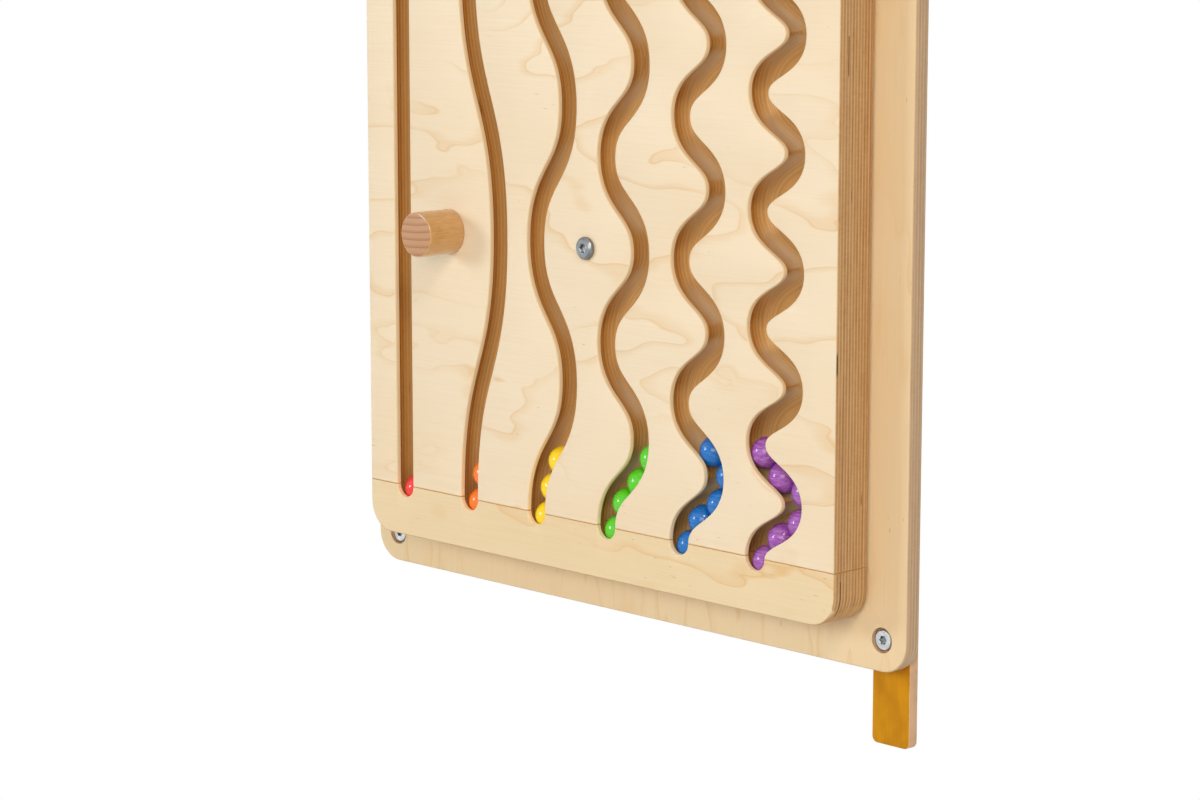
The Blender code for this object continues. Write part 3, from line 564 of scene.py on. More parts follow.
class Finish(Nodes):
    """A material and its nodes."""

    def __init__(self, name):
        self.material = bpy.data.materials.new(name)
        self.material.use_nodes = True
        super().__init__(self.material.node_tree)
        self.shader = self.tree.nodes["Principled BSDF"]
        self.coords = self.tree.nodes.new("ShaderNodeTexCoord")

    def parts(self, output):
        """The x, y and z of the object's coordinates or of its normal."""
        return self.node("SeparateXYZ", {0: self.coords.outputs[output]}).outputs

    def noise(self, vector, scale=1.0, detail=2.0, roughness=0.5, distortion=0.0):
        inputs = {"Vector": vector, "Scale": scale, "Detail": detail, "Roughness": roughness,
                  "Distortion": distortion}
        return self.node("TexNoise", inputs).outputs[0]

    def pattern(self, scale, shift=(0.0, 0.0, 0.0), turn=(0.0, 0.0, 0.0), **settings):
        """Noise over the object's coordinates, once they are scaled, turned and shifted."""
        inputs = {"Vector": self.coords.outputs["Object"], "Location": shift, "Rotation": turn,
                  "Scale": scale}
        return self.noise(self.node("Mapping", inputs).outputs[0], **settings)

    def mix(self, share, first, second, blend="MIX"):
        inputs = {0: share, 6: tinted(first), 7: tinted(second)}
        return self.node("Mix", inputs, data_type="RGBA", blend_type=blend).outputs[2]

    def grey(self, value):
        return self.node("CombineColor", {0: value, 1: value, 2: value}).outputs[0]

    def bump(self, height, strength, distance):
        return self.node("Bump", {"Height": height, "Strength": strength, "Distance": distance}).outputs[0]

    def surface(self, **inputs):
        """Set or link the shader's sockets, by their names with spaces as underscores."""
        for name, value in inputs.items():
            socket = self.shader.inputs[name.replace("_", " ")]
            self.plug(tinted(value) if socket.type == "RGBA" else value, socket)
        return self.material


def tinted(value):
    """A colour as four numbers, or a socket as it is."""
    if isinstance(value, bpy.types.NodeSocket):
        return value
    return (*value, 1.0) if len(value) == 3 else tuple(value)


def shaded(colour, *shares):
    """A colour multiplied by one share, or by a share for each of its three parts."""
    shares = shares * 3 if len(shares) == 1 else shares
    return tuple(share * part for part, share in zip(colour, shares))


def veneer(finish, wood, figure, fleck, seed, upright, figure_strength):
    """Colour and fine grain of a rotary-cut birch face with thin contour lines and short flecks.

    The contour lines are the steps of a stretched noise, counted nine to its whole height.
    """
    figure_scale = (14.0, 9.0, 3.6) if upright else (4.0, 9.0, 11.0)
    grain_scale = (900.0, 30.0, 16.0) if upright else (16.0, 30.0, 900.0)
    fleck_scale = (900.0, 30.0, 110.0) if upright else (110.0, 30.0, 900.0)
    shift = (seed, seed * 0.37, -seed * 0.61)
    hills = finish.pattern(figure_scale, shift, detail=3.6, roughness=0.44)
    bands = finish.math("FRACT", finish.product(hills, 9.0))
    sharp_side = finish.fade(bands, 0.0, 0.06, 1.0, 0.0)
    soft_side = finish.fade(bands, 0.78, 1.0, 0.0, 0.50)
    line = finish.math("MAXIMUM", sharp_side, soft_side)
    patches = finish.fade(finish.pattern((6.0, 6.0, 7.0), shift, detail=1.0), 0.38, 0.60)
    line = finish.product(line, patches)
    tone = finish.fade(finish.pattern((5.0, 5.0, 9.0), shift[::-1], detail=2.0), 0.3, 0.7)
    base = finish.mix(finish.product(tone, 0.15), wood, figure)
    drawn = finish.mix(finish.product(line, 0.60 * figure_strength), base, figure)
    fine = finish.pattern(grain_scale, shift, detail=3.0, roughness=0.6)
    grained = finish.mix(finish.fade(fine, 0.35, 0.75, 0.0, 0.13), drawn, figure)
    marks = finish.fade(finish.pattern(fleck_scale, shift, detail=1.0), 0.735, 0.80)
    clumps = finish.fade(finish.pattern((14.0, 14.0, 14.0), shift, detail=1.0), 0.5, 0.62)
    return finish.mix(finish.product(finish.product(marks, clumps), 0.75), grained, fleck), fine


def plywood(name, colours, wood, front_y, thickness, ply, seed, phase=0.0, upright=False,
            figure_strength=1.0, routed_walls=False, edge_veil=0.0):
    """Plywood: veneer on its two faces, and layers across its depth wherever it is cut.

    The phase, in layers, moves the layers through the depth. A layer is light where the cut runs
    along its grain and dark where it runs across, so neighbouring layers change places round a
    bend. The share along or across is the square of the normal's x or z.
    """
    finish = Finish(name)
    face, fine = veneer(finish, wood, colours.figure, colours.fleck, seed, upright, figure_strength)
    place, facing = finish.parts("Object"), finish.parts("Normal")
    depth = finish.math("SUBTRACT", place[1], front_y)
    wander = finish.pattern((9.0, 0.0, 9.0), (seed, 0.0, 0.0), detail=1.0)
    bent = finish.math("MULTIPLY_ADD", finish.math("SUBTRACT", wander, 0.5), 0.0005, depth)
    layers = finish.math("ADD", finish.math("DIVIDE", bent, ply), 20.0 + phase)
    layer = finish.math("FLOOR", layers)
    part = finish.math("FRACT", layers)
    odd = finish.math("MODULO", layer, 2.0)
    side_on = finish.math("POWER", finish.math("ABSOLUTE", facing[0]), 2.0)
    end_on = finish.math("POWER", finish.math("ABSOLUTE", facing[2]), 2.0)
    across = finish.math("ADD", finish.product(side_on, finish.math("SUBTRACT", 1.0, odd)),
                         finish.product(end_on, odd))
    along = finish.node("CombineXYZ", {0: place[0], 1: finish.product(layer, 0.37), 2: place[2]}).outputs[0]
    streaks = finish.noise(along, scale=38.0, detail=3.0, roughness=0.6)
    broad = finish.noise(along, scale=7.0, detail=1.0)
    fibre = finish.pattern((700.0, 260.0, 700.0), detail=2.0)
    dark = finish.math("MULTIPLY_ADD", finish.fade(across, 0.10, 0.90), 0.62, 0.10)
    for pattern, less, more in ((streaks, -0.14, 0.16), (broad, -0.12, 0.14), (fibre, -0.07, 0.07)):
        dark = finish.math("ADD", dark, finish.fade(pattern, 0.3, 0.7, less, more))
    cut = finish.mix(finish.math("MINIMUM", finish.math("MAXIMUM", dark, 0.0), 1.0),
                     colours.ply_light, colours.ply_dark)
    glue = finish.math("MAXIMUM", finish.fade(part, 0.0, 0.10, 1.0, 0.0), finish.fade(part, 0.90, 1.0))
    cut = finish.mix(finish.product(glue, 0.60), cut, colours.ply_dark)
    gaps = finish.fade(finish.noise(along, scale=30.0, detail=0.0), 0.80, 0.83)
    middle = finish.product(finish.fade(part, 0.15, 0.3), finish.fade(part, 0.7, 0.85, 1.0, 0.0))
    cut = finish.mix(finish.product(finish.product(gaps, middle), 0.85), cut, (0.045, 0.020, 0.010))
    cut = finish.mix(edge_veil, cut, colours.back_edge)
    if routed_walls:
        cut = routed(finish, cut, colours, wood, place, depth, end_on)
    half = thickness / 2
    on_face = finish.fade(finish.gap(depth, half), half - 0.00030, half - 0.00010)
    wood_colour = finish.mix(on_face, cut, face)
    if routed_walls:
        to_seam = finish.gap(finish.math("ABSOLUTE", place[2]), BOARD_HIGH.z)
        wood_colour = finish.mix(finish.fade(to_seam, 0.0003, 0.0008, 0.60, 0.0), wood_colour, colours.figure)
    relief = finish.mix(on_face, finish.grey(streaks), finish.grey(fine))
    return finish.surface(Base_Color=wood_colour, Roughness=finish.fade(fine, 0.2, 0.8, 0.40, 0.52),
                          Normal=finish.bump(relief, 0.10, 0.0003), Specular_IOR_Level=0.25)


def routed(finish, cut, colours, wood, place, depth, end_on):
    """Cut plies inside the tracks, with the cutter's passes as a sine along the depth.

    The lip is painted pale as a painted highlight, the wall below it darker as painted shade from the lip,
    and the wall near the floor paler again as painted light, most of all where it slants.
    """
    half_w, half_h = BOARD_HIGH.x, -STRIP_LOW.z
    inside_x = finish.fade(finish.math("ABSOLUTE", place[0]), half_w - 0.0025, half_w - 0.0015, 1.0, 0.0)
    inside_z = finish.fade(finish.math("ABSOLUTE", place[2]), half_h - 0.015, half_h - 0.005, 1.0, 0.0)
    # Painted light and shade: the wall near the floor is painted paler, as if lit through the mouth, and the
    # wall nearer the lip gets the painted shade.
    deep = finish.fade(depth, 0.0080, 0.0175)
    slant = finish.fade(end_on, 0.05, 0.60)
    lit = finish.mix(finish.product(deep, finish.math("MULTIPLY_ADD", slant, 0.55, 0.40)), cut, wood)
    pass_width = 0.00085
    passes = finish.math("SINE", finish.product(depth, 2 * pi / pass_width))
    lit = finish.mix(finish.fade(passes, 0.0, 1.0, 0.0, 0.38), lit, colours.ply_dark)
    # Painted light: paler still where the wall faces up or down.
    paler = finish.mix(finish.product(slant, 0.75), colours.lit_deep_wall, (1.0, 1.0, 1.0))
    tint = finish.mix(deep, colours.shade_under_lip, paler)
    lit_and_shaded_wall = finish.mix(1.0, lit, tint, "MULTIPLY")
    # Painted highlight: the rim and the lip's wall take the pale lip colour, fading a little with depth.
    band = finish.mix(finish.fade(depth, 0.0010, 0.0016, 1.0, 0.80), cut, colours.lit_lip_wall)
    pale = finish.mix(finish.fade(depth, 0.0033, 0.0038, 1.0, 0.0), lit_and_shaded_wall, band)
    return finish.mix(finish.product(inside_x, inside_z), cut, pale)


def solid_wood(name, side, end, pith, ring_width, seed, end_axis=1):
    """Solid wood whose rings are circles about the pith, a line along Y through that x and z.

    The end grain shows where the surface faces along the end axis.
    """
    finish = Finish(name)
    warp = finish.pattern((30.0, 8.0, 30.0), (seed, seed, seed), detail=2.0)
    place, facing = finish.parts("Object"), finish.parts("Normal")
    radius = finish.distance(finish.math("SUBTRACT", place[0], pith[0]),
                             finish.math("SUBTRACT", place[2], pith[1]))
    radius = finish.math("MULTIPLY_ADD", warp, 0.0022, radius)
    year = finish.math("FRACT", finish.math("DIVIDE", radius, ring_width))
    late = finish.math("MAXIMUM", finish.fade(year, 0.0, 0.09, 1.0, 0.0),
                       finish.fade(year, 0.50, 1.0, 0.0, 0.6))
    pores = finish.pattern((1100.0, 1100.0, 1100.0), (seed, 0.0, 0.0), detail=1.0)
    flecks = finish.pattern((1000.0, 150.0, 1000.0), (0.0, seed, 0.0), detail=2.5, roughness=0.6)
    is_end = finish.fade(finish.math("ABSOLUTE", facing[end_axis]), 0.80, 0.95)
    on_end = finish.math("MULTIPLY_ADD", late, 0.92, finish.fade(pores, 0.35, 0.70, 0.0, 0.16))
    on_side = finish.math("MULTIPLY_ADD", late, 0.22, finish.fade(flecks, 0.42, 0.66, 0.0, 0.34))
    shade_end = finish.product(on_end, is_end)
    shade_side = finish.product(on_side, finish.math("SUBTRACT", 1.0, is_end))
    wood = finish.mix(is_end, side, end)
    dark = finish.mix(is_end, shaded(side, 0.62), shaded(end, 0.52, 0.37, 0.28))
    wood = finish.mix(finish.math("ADD", shade_end, shade_side), wood, dark)
    return finish.surface(Base_Color=wood, Roughness=finish.fade(flecks, 0.3, 0.7, 0.34, 0.46),
                          Normal=finish.bump(flecks, 0.12, 0.0003), Specular_IOR_Level=0.35,
                          Coat_Weight=0.90, Coat_Roughness=0.06)


def lacquer(name, paint, veil):
    """Gloss lacquer over a turned wooden ball, whose growth rings show paler through it."""
    finish = Finish(name)
    grain = finish.pattern((110.0, 500.0, 950.0), turn=(0.5, 0.3, 0.9), detail=3.0, roughness=0.6,
                           distortion=0.6)
    pale = tuple(part + (1.0 - part) * 0.30 for part in paint)
    tint = finish.mix(finish.product(finish.fade(grain, 0.42, 0.66), veil), paint, pale)
    ripple = finish.pattern((130.0, 130.0, 130.0), detail=1.0)
    return finish.surface(Base_Color=tint, Roughness=finish.fade(grain, 0.3, 0.7, 0.30, 0.38),
                          Normal=finish.bump(ripple, 0.05, 0.0005), Specular_IOR_Level=0.05,
                          Coat_Weight=0.65, Coat_Roughness=0.04)


def zinc_plate(name, tint, polish):
    """Zinc with fine turning marks, duller in patches; more polish makes it smoother."""
    finish = Finish(name)
    patches = finish.pattern((260.0, 260.0, 260.0), detail=3.0, roughness=0.6)
    scratches = finish.pattern((1400.0, 300.0, 1400.0), detail=2.0)
    metal = finish.mix(finish.fade(patches, 0.35, 0.7), tint, shaded(tint, 0.74, 0.76, 0.78))
    roughness = finish.fade(patches, 0.3, 0.7, 0.34 - polish, 0.46 - polish)
    return finish.surface(Base_Color=metal, Metallic=1.0, Roughness=roughness,
                          Normal=finish.bump(scratches, 0.08, 0.0001))


def dark_zinc(colours):
    """The one dull zinc of the bolt, nut and washer, also used as painted shade inside the corner screws'
    sockets.
    """
    return bpy.data.materials.get("dark_zinc") or zinc_plate("dark_zinc", colours.zinc, 0.08)


def moulded_nylon(colours):
    """Natural nylon with a fine moulded texture."""
    finish = Finish("moulded_nylon")
    texture = finish.pattern((900.0, 900.0, 900.0), detail=2.0)
    cloud = finish.fade(finish.pattern((60.0, 60.0, 60.0), detail=1.0), 0.3, 0.7)
    tint = finish.mix(cloud, colours.nylon, shaded(colours.nylon, 0.9))
    return finish.surface(Base_Color=tint, Roughness=finish.fade(texture, 0.3, 0.7, 0.42, 0.55),
                          Normal=finish.bump(texture, 0.08, 0.0002))


def stained_tag(colours, front_y):
    """Ochre stain on the tag's face, worn thin at its edges, over plain wood on its sides."""
    finish = Finish("stained_tag")
    depth = finish.math("SUBTRACT", finish.parts("Object")[1], front_y)
    grain = finish.pattern((900.0, 40.0, 60.0), detail=3.0, roughness=0.6)
    cloud = finish.pattern((45.0, 45.0, 30.0), (3.0, 0.0, 0.0), detail=2.0)
    wear = finish.pattern((500.0, 500.0, 260.0), detail=2.0)
    edge = finish.math("MULTIPLY_ADD", finish.math("SUBTRACT", wear, 0.5), 0.00035, depth)
    on_face = finish.fade(edge, 0.00012, 0.00034, 1.0, 0.0)
    deep = shaded(colours.stain, 0.72, 0.62, 0.60)
    stain = finish.mix(finish.fade(cloud, 0.35, 0.68), colours.stain, deep)
    stain = finish.mix(finish.fade(grain, 0.42, 0.72, 0.0, 0.35), stain, deep)
    streaked = finish.fade(grain, 0.35, 0.7, 0.0, 0.5)
    wood = finish.mix(streaked, colours.tag_wood, shaded(colours.tag_wood, 0.72))
    return finish.surface(Base_Color=finish.mix(on_face, wood, stain), Specular_IOR_Level=0.08,
                          Roughness=finish.fade(grain, 0.3, 0.7, 0.42, 0.55),
                          Normal=finish.bump(grain, 0.15, 0.0003))


# Operators, one for each piece or group of like pieces


def settings(context):
    """The sizes and colours that the sidebar shows."""
    return context.scene.wall_panel_sizes, context.scene.wall_panel_colours


class WALLPANEL_OT_track_board(bpy.types.Operator):
    """Make the turning board with its six tracks"""

    bl_idname = "wall_panel.track_board"
    bl_label = "Track Board"

    def execute(self, context):
        sizes, colours = settings(context)
        wood = plywood("track_board_birch", colours, colours.face, BOARD_LOW.y, BOARD_THICKNESS,
                       sizes.ply_thickness, 1.7, routed_walls=True)
        add_piece("track_board_wood", board_mesh(sizes), wood, "turntable", BOARD_NODES)
        return {"FINISHED"}


class WALLPANEL_OT_end_strips(bpy.types.Operator):
    """Make the two strips that close the tracks"""

    bl_idname = "wall_panel.end_strips"
    bl_label = "End Strips"

    def execute(self, context):
        sizes, colours = settings(context)
        for name, side, seed in (("bottom", 1, 2.9), ("top", -1, 9.1)):
            wood = plywood(name + "_strip_birch", colours, colours.strip, BOARD_LOW.y, BOARD_THICKNESS,
                           sizes.ply_thickness * 1.03, seed, phase=0.45, figure_strength=1.10,
                           routed_walls=True)
            mesh = strip_mesh(name + "_strip_wood", side, sizes)
            add_piece(name + "_strip_wood", mesh, wood, "turntable", [name + "_end_strip"])
        return {"FINISHED"}


class WALLPANEL_OT_back_board(bpy.types.Operator):
    """Make the fixed board with its four counterbored holes"""

    bl_idname = "wall_panel.back_board"
    bl_label = "Back Board"

    def execute(self, context):
        sizes, colours = settings(context)
        front, rear = BACK_LOW.y, BACK_HIGH.y
        outline, normals = rounded_outline(BACK_HIGH.x, BACK_LOW.z, BACK_HIGH.z, sizes.corner_radius)
        mesh = plate_mesh("back_board_wood", outline, normals, front, rear, sizes.edge_round,
                          (0.0, 0.0), BOLT_HOLE)
        sink, deep, chamfer = sizes.counterbore / 2, front + sizes.counterbore_depth, 0.0003
        before, behind = front - CUT_OVERRUN, rear + CUT_OVERRUN
        profile = (
            (0.0, before), (sink + chamfer + CUT_OVERRUN, before), (sink, front + chamfer), (sink, deep),
            (SCREW_HOLE, deep), (SCREW_HOLE, behind), (0.0, behind),
        )
        rings = turned_rings(profile, 96)
        cutters = [turned_mesh("sink", *rings, axis_of("corner_screw_" + corner)) for corner in CORNERS]
        wood = plywood("back_board_birch", colours, colours.back, front, rear - front,
                       sizes.ply_thickness, 3.9, upright=True, figure_strength=0.85, edge_veil=0.28)
        mesh = cut_holes(mesh, cutters)
        add_piece("back_board_wood", mesh, wood, "wall_frame", ["back_board"])
        return {"FINISHED"}


class WALLPANEL_OT_spacers(bpy.types.Operator):
    """Make the three blocks between the back board and the wall"""

    bl_idname = "wall_panel.spacers"
    bl_label = "Spacers"

    def execute(self, context):
        sizes, colours = settings(context)
        low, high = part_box("spacer_lower_left")
        wood = plywood("spacer_birch", colours, colours.back, low.y, high.y - low.y,
                       sizes.ply_thickness * 1.1, 12.4, upright=True)
        for corner in ("lower_left", "upper_left", "upper_right"):
            node = "spacer_" + corner
            mesh = block_mesh(node + "_wood", node, corner)
            add_piece(node + "_wood", mesh, wood, "wall_frame", [node])
        return {"FINISHED"}


def block_mesh(name, node, corner, radius=0.0022, edge=0.0008):
    """A small plate with round corners and a screw hole, in the place of a CAD block."""
    low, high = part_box(node)
    outline, normals = rounded_outline((high.x - low.x) / 2, low.z, high.z, radius, 8, 10)
    outline[:, 0] += (low.x + high.x) / 2
    hole = axis_of("corner_screw_" + corner)
    return plate_mesh(name, outline, normals, low.y, high.y, edge, hole, SCREW_HOLE)


class WALLPANEL_OT_hanging_tag(bpy.types.Operator):
    """Make the stained block behind the lower right corner"""

    bl_idname = "wall_panel.hanging_tag"
    bl_label = "Hanging Tag"

    def execute(self, context):
        colours = settings(context)[1]
        mesh = block_mesh("hanging_tag_wood", "hanging_tag", "lower_right", 0.0042)
        stain = stained_tag(colours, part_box("hanging_tag")[0].y)
        add_piece("hanging_tag_wood", mesh, stain, "wall_frame", ["hanging_tag"])
        return {"FINISHED"}


def socket_floor(top):
    """The floor of a hexagon socket below a head's top, as rows of (radius, y, hexagon)."""
    return [(0.0, top + 0.0024, 0), (0.0019, top + 0.0020, 0), (SOCKET_FLAT, top + 0.0020, 1)]


def paint_socket_shade(piece, centre, below, metal):
    """Give the faces inside a screw's socket, below a given depth, the dull zinc as painted shade in the
    recess.
    """
    reach, deep = 0.0027, 0.0026
    mesh = piece.data
    mesh.materials.append(metal)
    middle = np.empty(len(mesh.polygons) * 3)
    mesh.polygons.foreach_get("center", middle)
    x, y, z = middle.reshape(-1, 3).T
    socket = (np.hypot(x - centre[0], z - centre[1]) < reach) & (y > below) & (y < below + deep)
    mesh.polygons.foreach_set("material_index", socket.astype(np.int32))


class WALLPANEL_OT_corner_screws(bpy.types.Operator):
    """Make the four screws with sunk sockets"""

    bl_idname = "wall_panel.corner_screws"
    bl_label = "Corner Screws"

    def execute(self, context):
        colours = settings(context)[1]
        zinc = zinc_plate("bright_zinc", colours.bright_zinc, 0.16)
        dark = dark_zinc(colours)
        for corner in CORNERS:
            node = "corner_screw_" + corner
            low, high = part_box(node)
            centre, head, shank = axis_of(node), (high.x - low.x) / 2, 0.0025
            top, tip, under = low.y, high.y, low.y + 0.0030
            edge, chamfer = 0.0003, 0.0006
            rows = socket_floor(top) + [
                (SOCKET_FLAT, top + edge, 1), (0.0027, top, 0.8), (0.0057, top, 0),
                (0.0060, top + 0.0001, 0), (head - edge, top + 0.0007, 0), (head, top + 0.0010, 0),
                (head, under - edge, 0), (head - edge, under, 0), (shank, under, 0),
                (shank, tip - chamfer, 0), (shank - chamfer, tip, 0), (0.0, tip, 0),
            ]
            mesh = turned_mesh(node + "_metal", *turned_rings(rows, 72), centre)
            piece = add_piece(node + "_metal", mesh, zinc, "wall_frame", [node])
            # Painted shade: the inside of the socket gets the dark zinc.
            paint_socket_shade(piece, centre, top + 0.0002, dark)
        return {"FINISHED"}


class WALLPANEL_OT_pivot(bpy.types.Operator):
    """Make the bolt, nut and washers that the board turns on"""

    bl_idname = "wall_panel.pivot"
    bl_label = "Pivot"

    def execute(self, context):
        colours = settings(context)[1]
        zinc = dark_zinc(colours)
        nylon = moulded_nylon(colours)
        for name, make in (("pivot_bolt", self.bolt_mesh), ("pivot_nut", self.nut_mesh)):
            mesh = make(name + "_metal", *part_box(name))
            add_piece(name + "_metal", mesh, zinc, "wall_frame", [name])
        self.add_washer("pivot_washer", zinc, 0.0002, "wall_frame", "zinc_steel")
        self.add_washer("thrust_washer", nylon, 0.0003, "wall_frame", "nylon")
        self.add_washer("pivot_bush", nylon, 0.0003, "turntable", "nylon")
        return {"FINISHED"}

    def bolt_mesh(self, name, low, high):
        """The bolt: a low head with a hexagon socket, and a thread that climbs one pitch in a turn.

        The thread lies below the shank by its depth times the size of 2t - 1, where t runs from 0 at
        one groove to 1 at the next.
        """
        head, top, tail, under = (high.x - low.x) / 2, low.y, high.y, low.y + 0.0035
        shank, edge, chamfer = 0.004, 0.0003, 0.0006
        pitch, thread_depth, thread_length = 0.00125, 0.00055, 0.014
        thread = np.linspace(tail - thread_length, tail - chamfer, 90)
        rows = socket_floor(top) + [
            (SOCKET_FLAT, top + 0.0005, 1), (0.0029, top + 0.0001, 0.5), (0.0033, top, 0),
            (0.0036, top + 0.0002, 0), (0.0052, top + 0.0002, 0), (0.0054, top, 0), (0.0057, top, 0),
            (0.0060, top + 0.0003, 0), (0.0069, top + 0.0010, 0), (0.0073, top + 0.0015, 0),
            (head, top + 0.0021, 0), (head, under - edge, 0), (head - edge, under, 0),
            (shank, under, 0), *((shank, y, 0) for y in thread), (shank - chamfer, tail, 0), (0.0, tail, 0),
        ]
        radius, y = turned_rings(rows, 72)
        turn = np.mod((thread[:, None] - thread[0]) / pitch - ring_angles(72) / (2 * pi), 1.0)
        run_in = np.minimum(1.0, np.arange(len(thread)) / 12)[:, None]
        radius[-2 - len(thread):-2] = shank - thread_depth * np.abs(2 * turn - 1) * run_in
        return turned_mesh(name, radius, y)

    def nut_mesh(self, name, low, high):
        """The nut: a hexagon whose corners are cut by a cone at both faces.

        Its radius is the smaller one of the hexagon's and the cone's at each angle.
        """
        steps, cone_depth = 96, 0.0016
        flat = max(high.x - low.x, high.z - low.z) / 2 * cos(pi / 6)
        share = np.linspace(0.0, 1.0, 5)
        cone = flat * (0.97 + 0.19 * np.concatenate((share, share[::-1])))
        outside = np.minimum(cone[:, None], flat * hexagon(steps))
        radius = np.concatenate((np.full((2, steps), BOLT_HOLE), outside))
        y = ([high.y, low.y], low.y + cone_depth * share, high.y - cone_depth * share[::-1])
        return turned_mesh(name, radius, np.concatenate(y), ring=True)

    def add_washer(self, node, material, soft, body, slot):
        """A ring with slightly softened edges."""
        low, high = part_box(node)
        outer, inner = (high.x - low.x) / 2, BOLT_HOLE
        profile = (
            (inner, low.y + soft), (inner + soft, low.y), (outer - soft, low.y), (outer, low.y + soft),
            (outer, high.y - soft), (outer - soft, high.y), (inner + soft, high.y), (inner, high.y - soft),
        )
        mesh = turned_mesh(node + "_ring", *turned_rings(profile, 72), ring=True)
        add_piece(node + "_ring", mesh, material, body, [node])


class WALLPANEL_OT_handle(bpy.types.Operator):
    """Make the dowel handle"""

    bl_idname = "wall_panel.handle"
    bl_label = "Handle"

    def execute(self, context):
        colours = settings(context)[1]
        low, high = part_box("handle")
        centre = axis_of("handle")
        radius, end, foot = (high.z - low.z) / 2, low.y, high.y
        end_round, chamfer = 0.0011, 0.0004
        inset, depth = quarter_round(end_round, 7)
        rows = [(0.0, end)] + [(radius - step, end + down) for step, down in zip(inset[::-1], depth[::-1])]
        rows += [(radius, foot - chamfer), (radius - chamfer, foot), (0.0, foot)]
        mesh = turned_mesh("handle_wood", *turned_rings(rows, 96), centre)
        pith, ring_width = (centre[0] - 0.005, centre[1] + 0.110), 0.005
        wood = solid_wood("handle_beech", colours.beech_side, colours.beech_end, pith, ring_width, 4.0)
        add_piece("handle_wood", mesh, wood, "turntable", ["handle"])
        return {"FINISHED"}


class WALLPANEL_OT_balls(bpy.types.Operator):
    """Make the lacquered balls of every track"""

    bl_idname = "wall_panel.balls"
    bl_label = "Balls"

    def execute(self, context):
        colours = settings(context)[1]
        veils = {"green": 0.14, "blue": 0.14, "purple": 0.42}
        for paint in TRACK_COLOURS:
            finish = lacquer(paint + "_lacquer", getattr(colours, paint), veils.get(paint, 0.08))
            for node in sorted(n for n in frame["nodes"] if n.startswith(paint + "_ball")):
                add_piece(node + "_lacquered", ball_mesh(node), finish, body_of(node), [node])
        return {"FINISHED"}


def ball_mesh(node):
    """A sphere as latitude and longitude, with a small turned flat at each pole.

    Each ring's radius is the ball's times the latitude's cosine, and its height times the sine.
    """
    rows, steps, flat = 33, 64, 0.998
    low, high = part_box(node)
    centre, radius = (low + high) / 2, (high.z - low.z) / 2
    latitude = np.linspace(-pi / 2, pi / 2, rows)[:, None]
    longitude = ring_angles(steps)[None]
    height = np.clip(np.sin(latitude), -flat, flat)
    x = centre.x + radius * np.cos(latitude) * np.cos(longitude)
    y = centre.y + radius * np.cos(latitude) * np.sin(longitude)
    z = centre.z + radius * height
    points = np.stack(np.broadcast_arrays(x, y, z), axis=-1)
    return make_mesh(node, points, grid_quads(rows, steps, close_columns=True))


class WALLPANEL_OT_inner_parts(bpy.types.Operator):
    """Give the hidden dowels and the handle's screw their finishes"""

    bl_idname = "wall_panel.inner_parts"
    bl_label = "Inner Parts"

    def execute(self, context):
        colours = settings(context)[1]
        dowel = solid_wood("dowel_beech", shaded(colours.beech_side, 1.15), colours.beech_end,
                           (0.0, 0.05), 0.004, 8.0, end_axis=2)
        for name, obj in frame["nodes"].items():
            if "_dowel_" in name or name == "handle_screw":
                for slot in obj.material_slots:
                    slot.material = dark_zinc(colours) if name == "handle_screw" else dowel
        return {"FINISHED"}


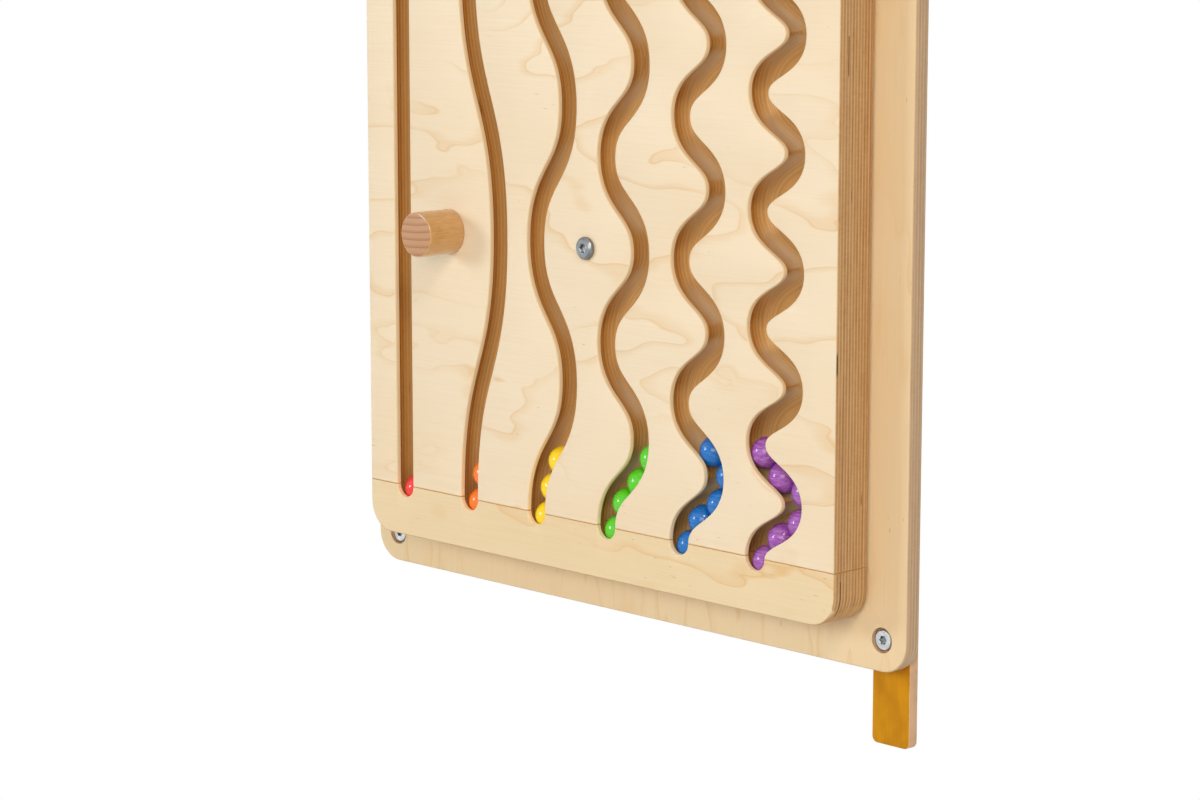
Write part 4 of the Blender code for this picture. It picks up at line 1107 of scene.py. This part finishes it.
class WALLPANEL_OT_stage(bpy.types.Operator):
    """Set up the pale floor, the soft lamps and the camera"""

    bl_idname = "wall_panel.stage"
    bl_label = "Stage"

    def execute(self, context):
        colours = settings(context)[1]
        scene = context.scene
        scene.view_settings.view_transform = "Standard"
        self.add_floor(scene, colours)
        self.add_world(scene)
        for lamp in (
            ("left_lamp", (-38, 10), (0.8, 0.8), 38.0, (0.73, 0.89, 1.00)),
            ("front_lamp", (28, 15), (1.8, 1.4), 42.0, (1.00, 0.94, 0.85)),
            ("right_lamp", (48, 38), (0.6, 0.6), 24.0, (1.00, 0.96, 0.90)),
            ("rear_lamp", (-165, 12), (1.0, 1.0), 40.0, (1.00, 0.98, 0.96)),
        ):
            self.add_lamp(scene, *lamp)
        self.add_camera(scene)
        return {"FINISHED"}

    def add_floor(self, scene, colours):
        """A flat square grid far below the panel, white to the camera beyond its middle."""
        ground, reach, lines = -1.25, 12.0, 25
        line = np.linspace(-reach, reach, lines)
        x, y = np.meshgrid(line, line)
        points = np.stack((x, y, np.full_like(x, ground)), axis=-1)
        mesh = bpy.data.meshes.new("floor")
        mesh.from_pydata(points.reshape(-1, 3).tolist(), [], grid_quads(lines, lines).tolist())
        floor = bpy.data.objects.new("floor", mesh)
        scene.collection.objects.link(floor)
        finish = Finish("pale_floor")
        mesh.materials.append(finish.surface(Base_Color=colours.floor, Roughness=0.7))
        place = finish.parts("Object")
        far = finish.fade(finish.distance(place[0], place[1]), 0.3, 1.2)
        share = finish.product(far, finish.seen_rays())
        finish.whiten(share, finish.shader, "Emission", "Material Output")

    def add_world(self, scene):
        """Even light from all round, seen as plain white."""
        world = bpy.data.worlds.new("studio")
        world.use_nodes = True
        scene.world = world
        nodes = Nodes(world.node_tree)
        light = world.node_tree.nodes["Background"]
        nodes.plug((1.0, 0.955, 0.890, 1.0), light.inputs["Color"])
        nodes.plug(0.33, light.inputs["Strength"])
        nodes.whiten(nodes.seen_rays(), light, "Background", "World Output")

    def add_lamp(self, scene, name, direction, size, power, tint, distance=3.4):
        """A soft rectangular lamp, turned to the panel from that azimuth and elevation in degrees."""
        azimuth, height = map(radians, direction)
        lamp = bpy.data.lights.new(name, "AREA")
        lamp.shape = "RECTANGLE"
        lamp.size, lamp.size_y = size
        lamp.energy = power
        lamp.color = tint
        obj = bpy.data.objects.new(name, lamp)
        away = Vector((sin(azimuth) * cos(height), -cos(azimuth) * cos(height), sin(height)))
        obj.location = away * distance
        obj.rotation_euler = (-away).to_track_quat("-Z", "Y").to_euler()
        scene.collection.objects.link(obj)

    def add_camera(self, scene):
        """The photograph's view, 45 degrees to the right of the front and a little from above."""
        camera = bpy.data.cameras.new("camera")
        camera.sensor_width = 36.0
        camera.lens = 99.99
        camera.clip_start, camera.clip_end = 0.05, 60.0
        obj = bpy.data.objects.new("camera", camera)
        obj.location = (1.5232, -1.5359, 0.2611)
        turn, dip = radians(45.54), radians(9.61)
        look = Vector((-sin(turn), cos(turn), -tan(dip)))
        obj.rotation_euler = look.to_track_quat("-Z", "Y").to_euler()
        scene.collection.objects.link(obj)
        scene.camera = obj


class WALLPANEL_PT_sidebar(bpy.types.Panel):
    """Lists the operators, sizes and colours"""

    bl_idname = "WALLPANEL_PT_sidebar"
    bl_label = "Wall Activity Panel"
    bl_space_type = "VIEW_3D"
    bl_region_type = "UI"
    bl_category = "Wall Panel"

    def draw(self, context):
        for operator in OPERATORS:
            self.layout.operator(operator.bl_idname)
        for group in settings(context):
            column = self.layout.column(align=True)
            for name in group.__annotations__:
                column.prop(group, name)


OPERATORS = (
    WALLPANEL_OT_stage,
    WALLPANEL_OT_track_board,
    WALLPANEL_OT_end_strips,
    WALLPANEL_OT_back_board,
    WALLPANEL_OT_spacers,
    WALLPANEL_OT_hanging_tag,
    WALLPANEL_OT_corner_screws,
    WALLPANEL_OT_pivot,
    WALLPANEL_OT_handle,
    WALLPANEL_OT_balls,
    WALLPANEL_OT_inner_parts,
)
CLASSES = (WallPanelSizes, WallPanelColours, *OPERATORS, WALLPANEL_PT_sidebar)


def register():
    for cls in CLASSES:
        bpy.utils.register_class(cls)
    bpy.types.Scene.wall_panel_sizes = bpy.props.PointerProperty(type=WallPanelSizes)
    bpy.types.Scene.wall_panel_colours = bpy.props.PointerProperty(type=WallPanelColours)


def unregister():
    del bpy.types.Scene.wall_panel_colours
    del bpy.types.Scene.wall_panel_sizes
    for cls in reversed(CLASSES):
        bpy.utils.unregister_class(cls)


def main():
    register()
    bpy.ops.wall_panel.stage()
    bpy.ops.wall_panel.track_board()
    bpy.ops.wall_panel.end_strips()
    bpy.ops.wall_panel.back_board()
    bpy.ops.wall_panel.spacers()
    bpy.ops.wall_panel.hanging_tag()
    bpy.ops.wall_panel.corner_screws()
    bpy.ops.wall_panel.pivot()
    bpy.ops.wall_panel.handle()
    bpy.ops.wall_panel.balls()
    bpy.ops.wall_panel.inner_parts()


if __name__ == "__main__":
    main()
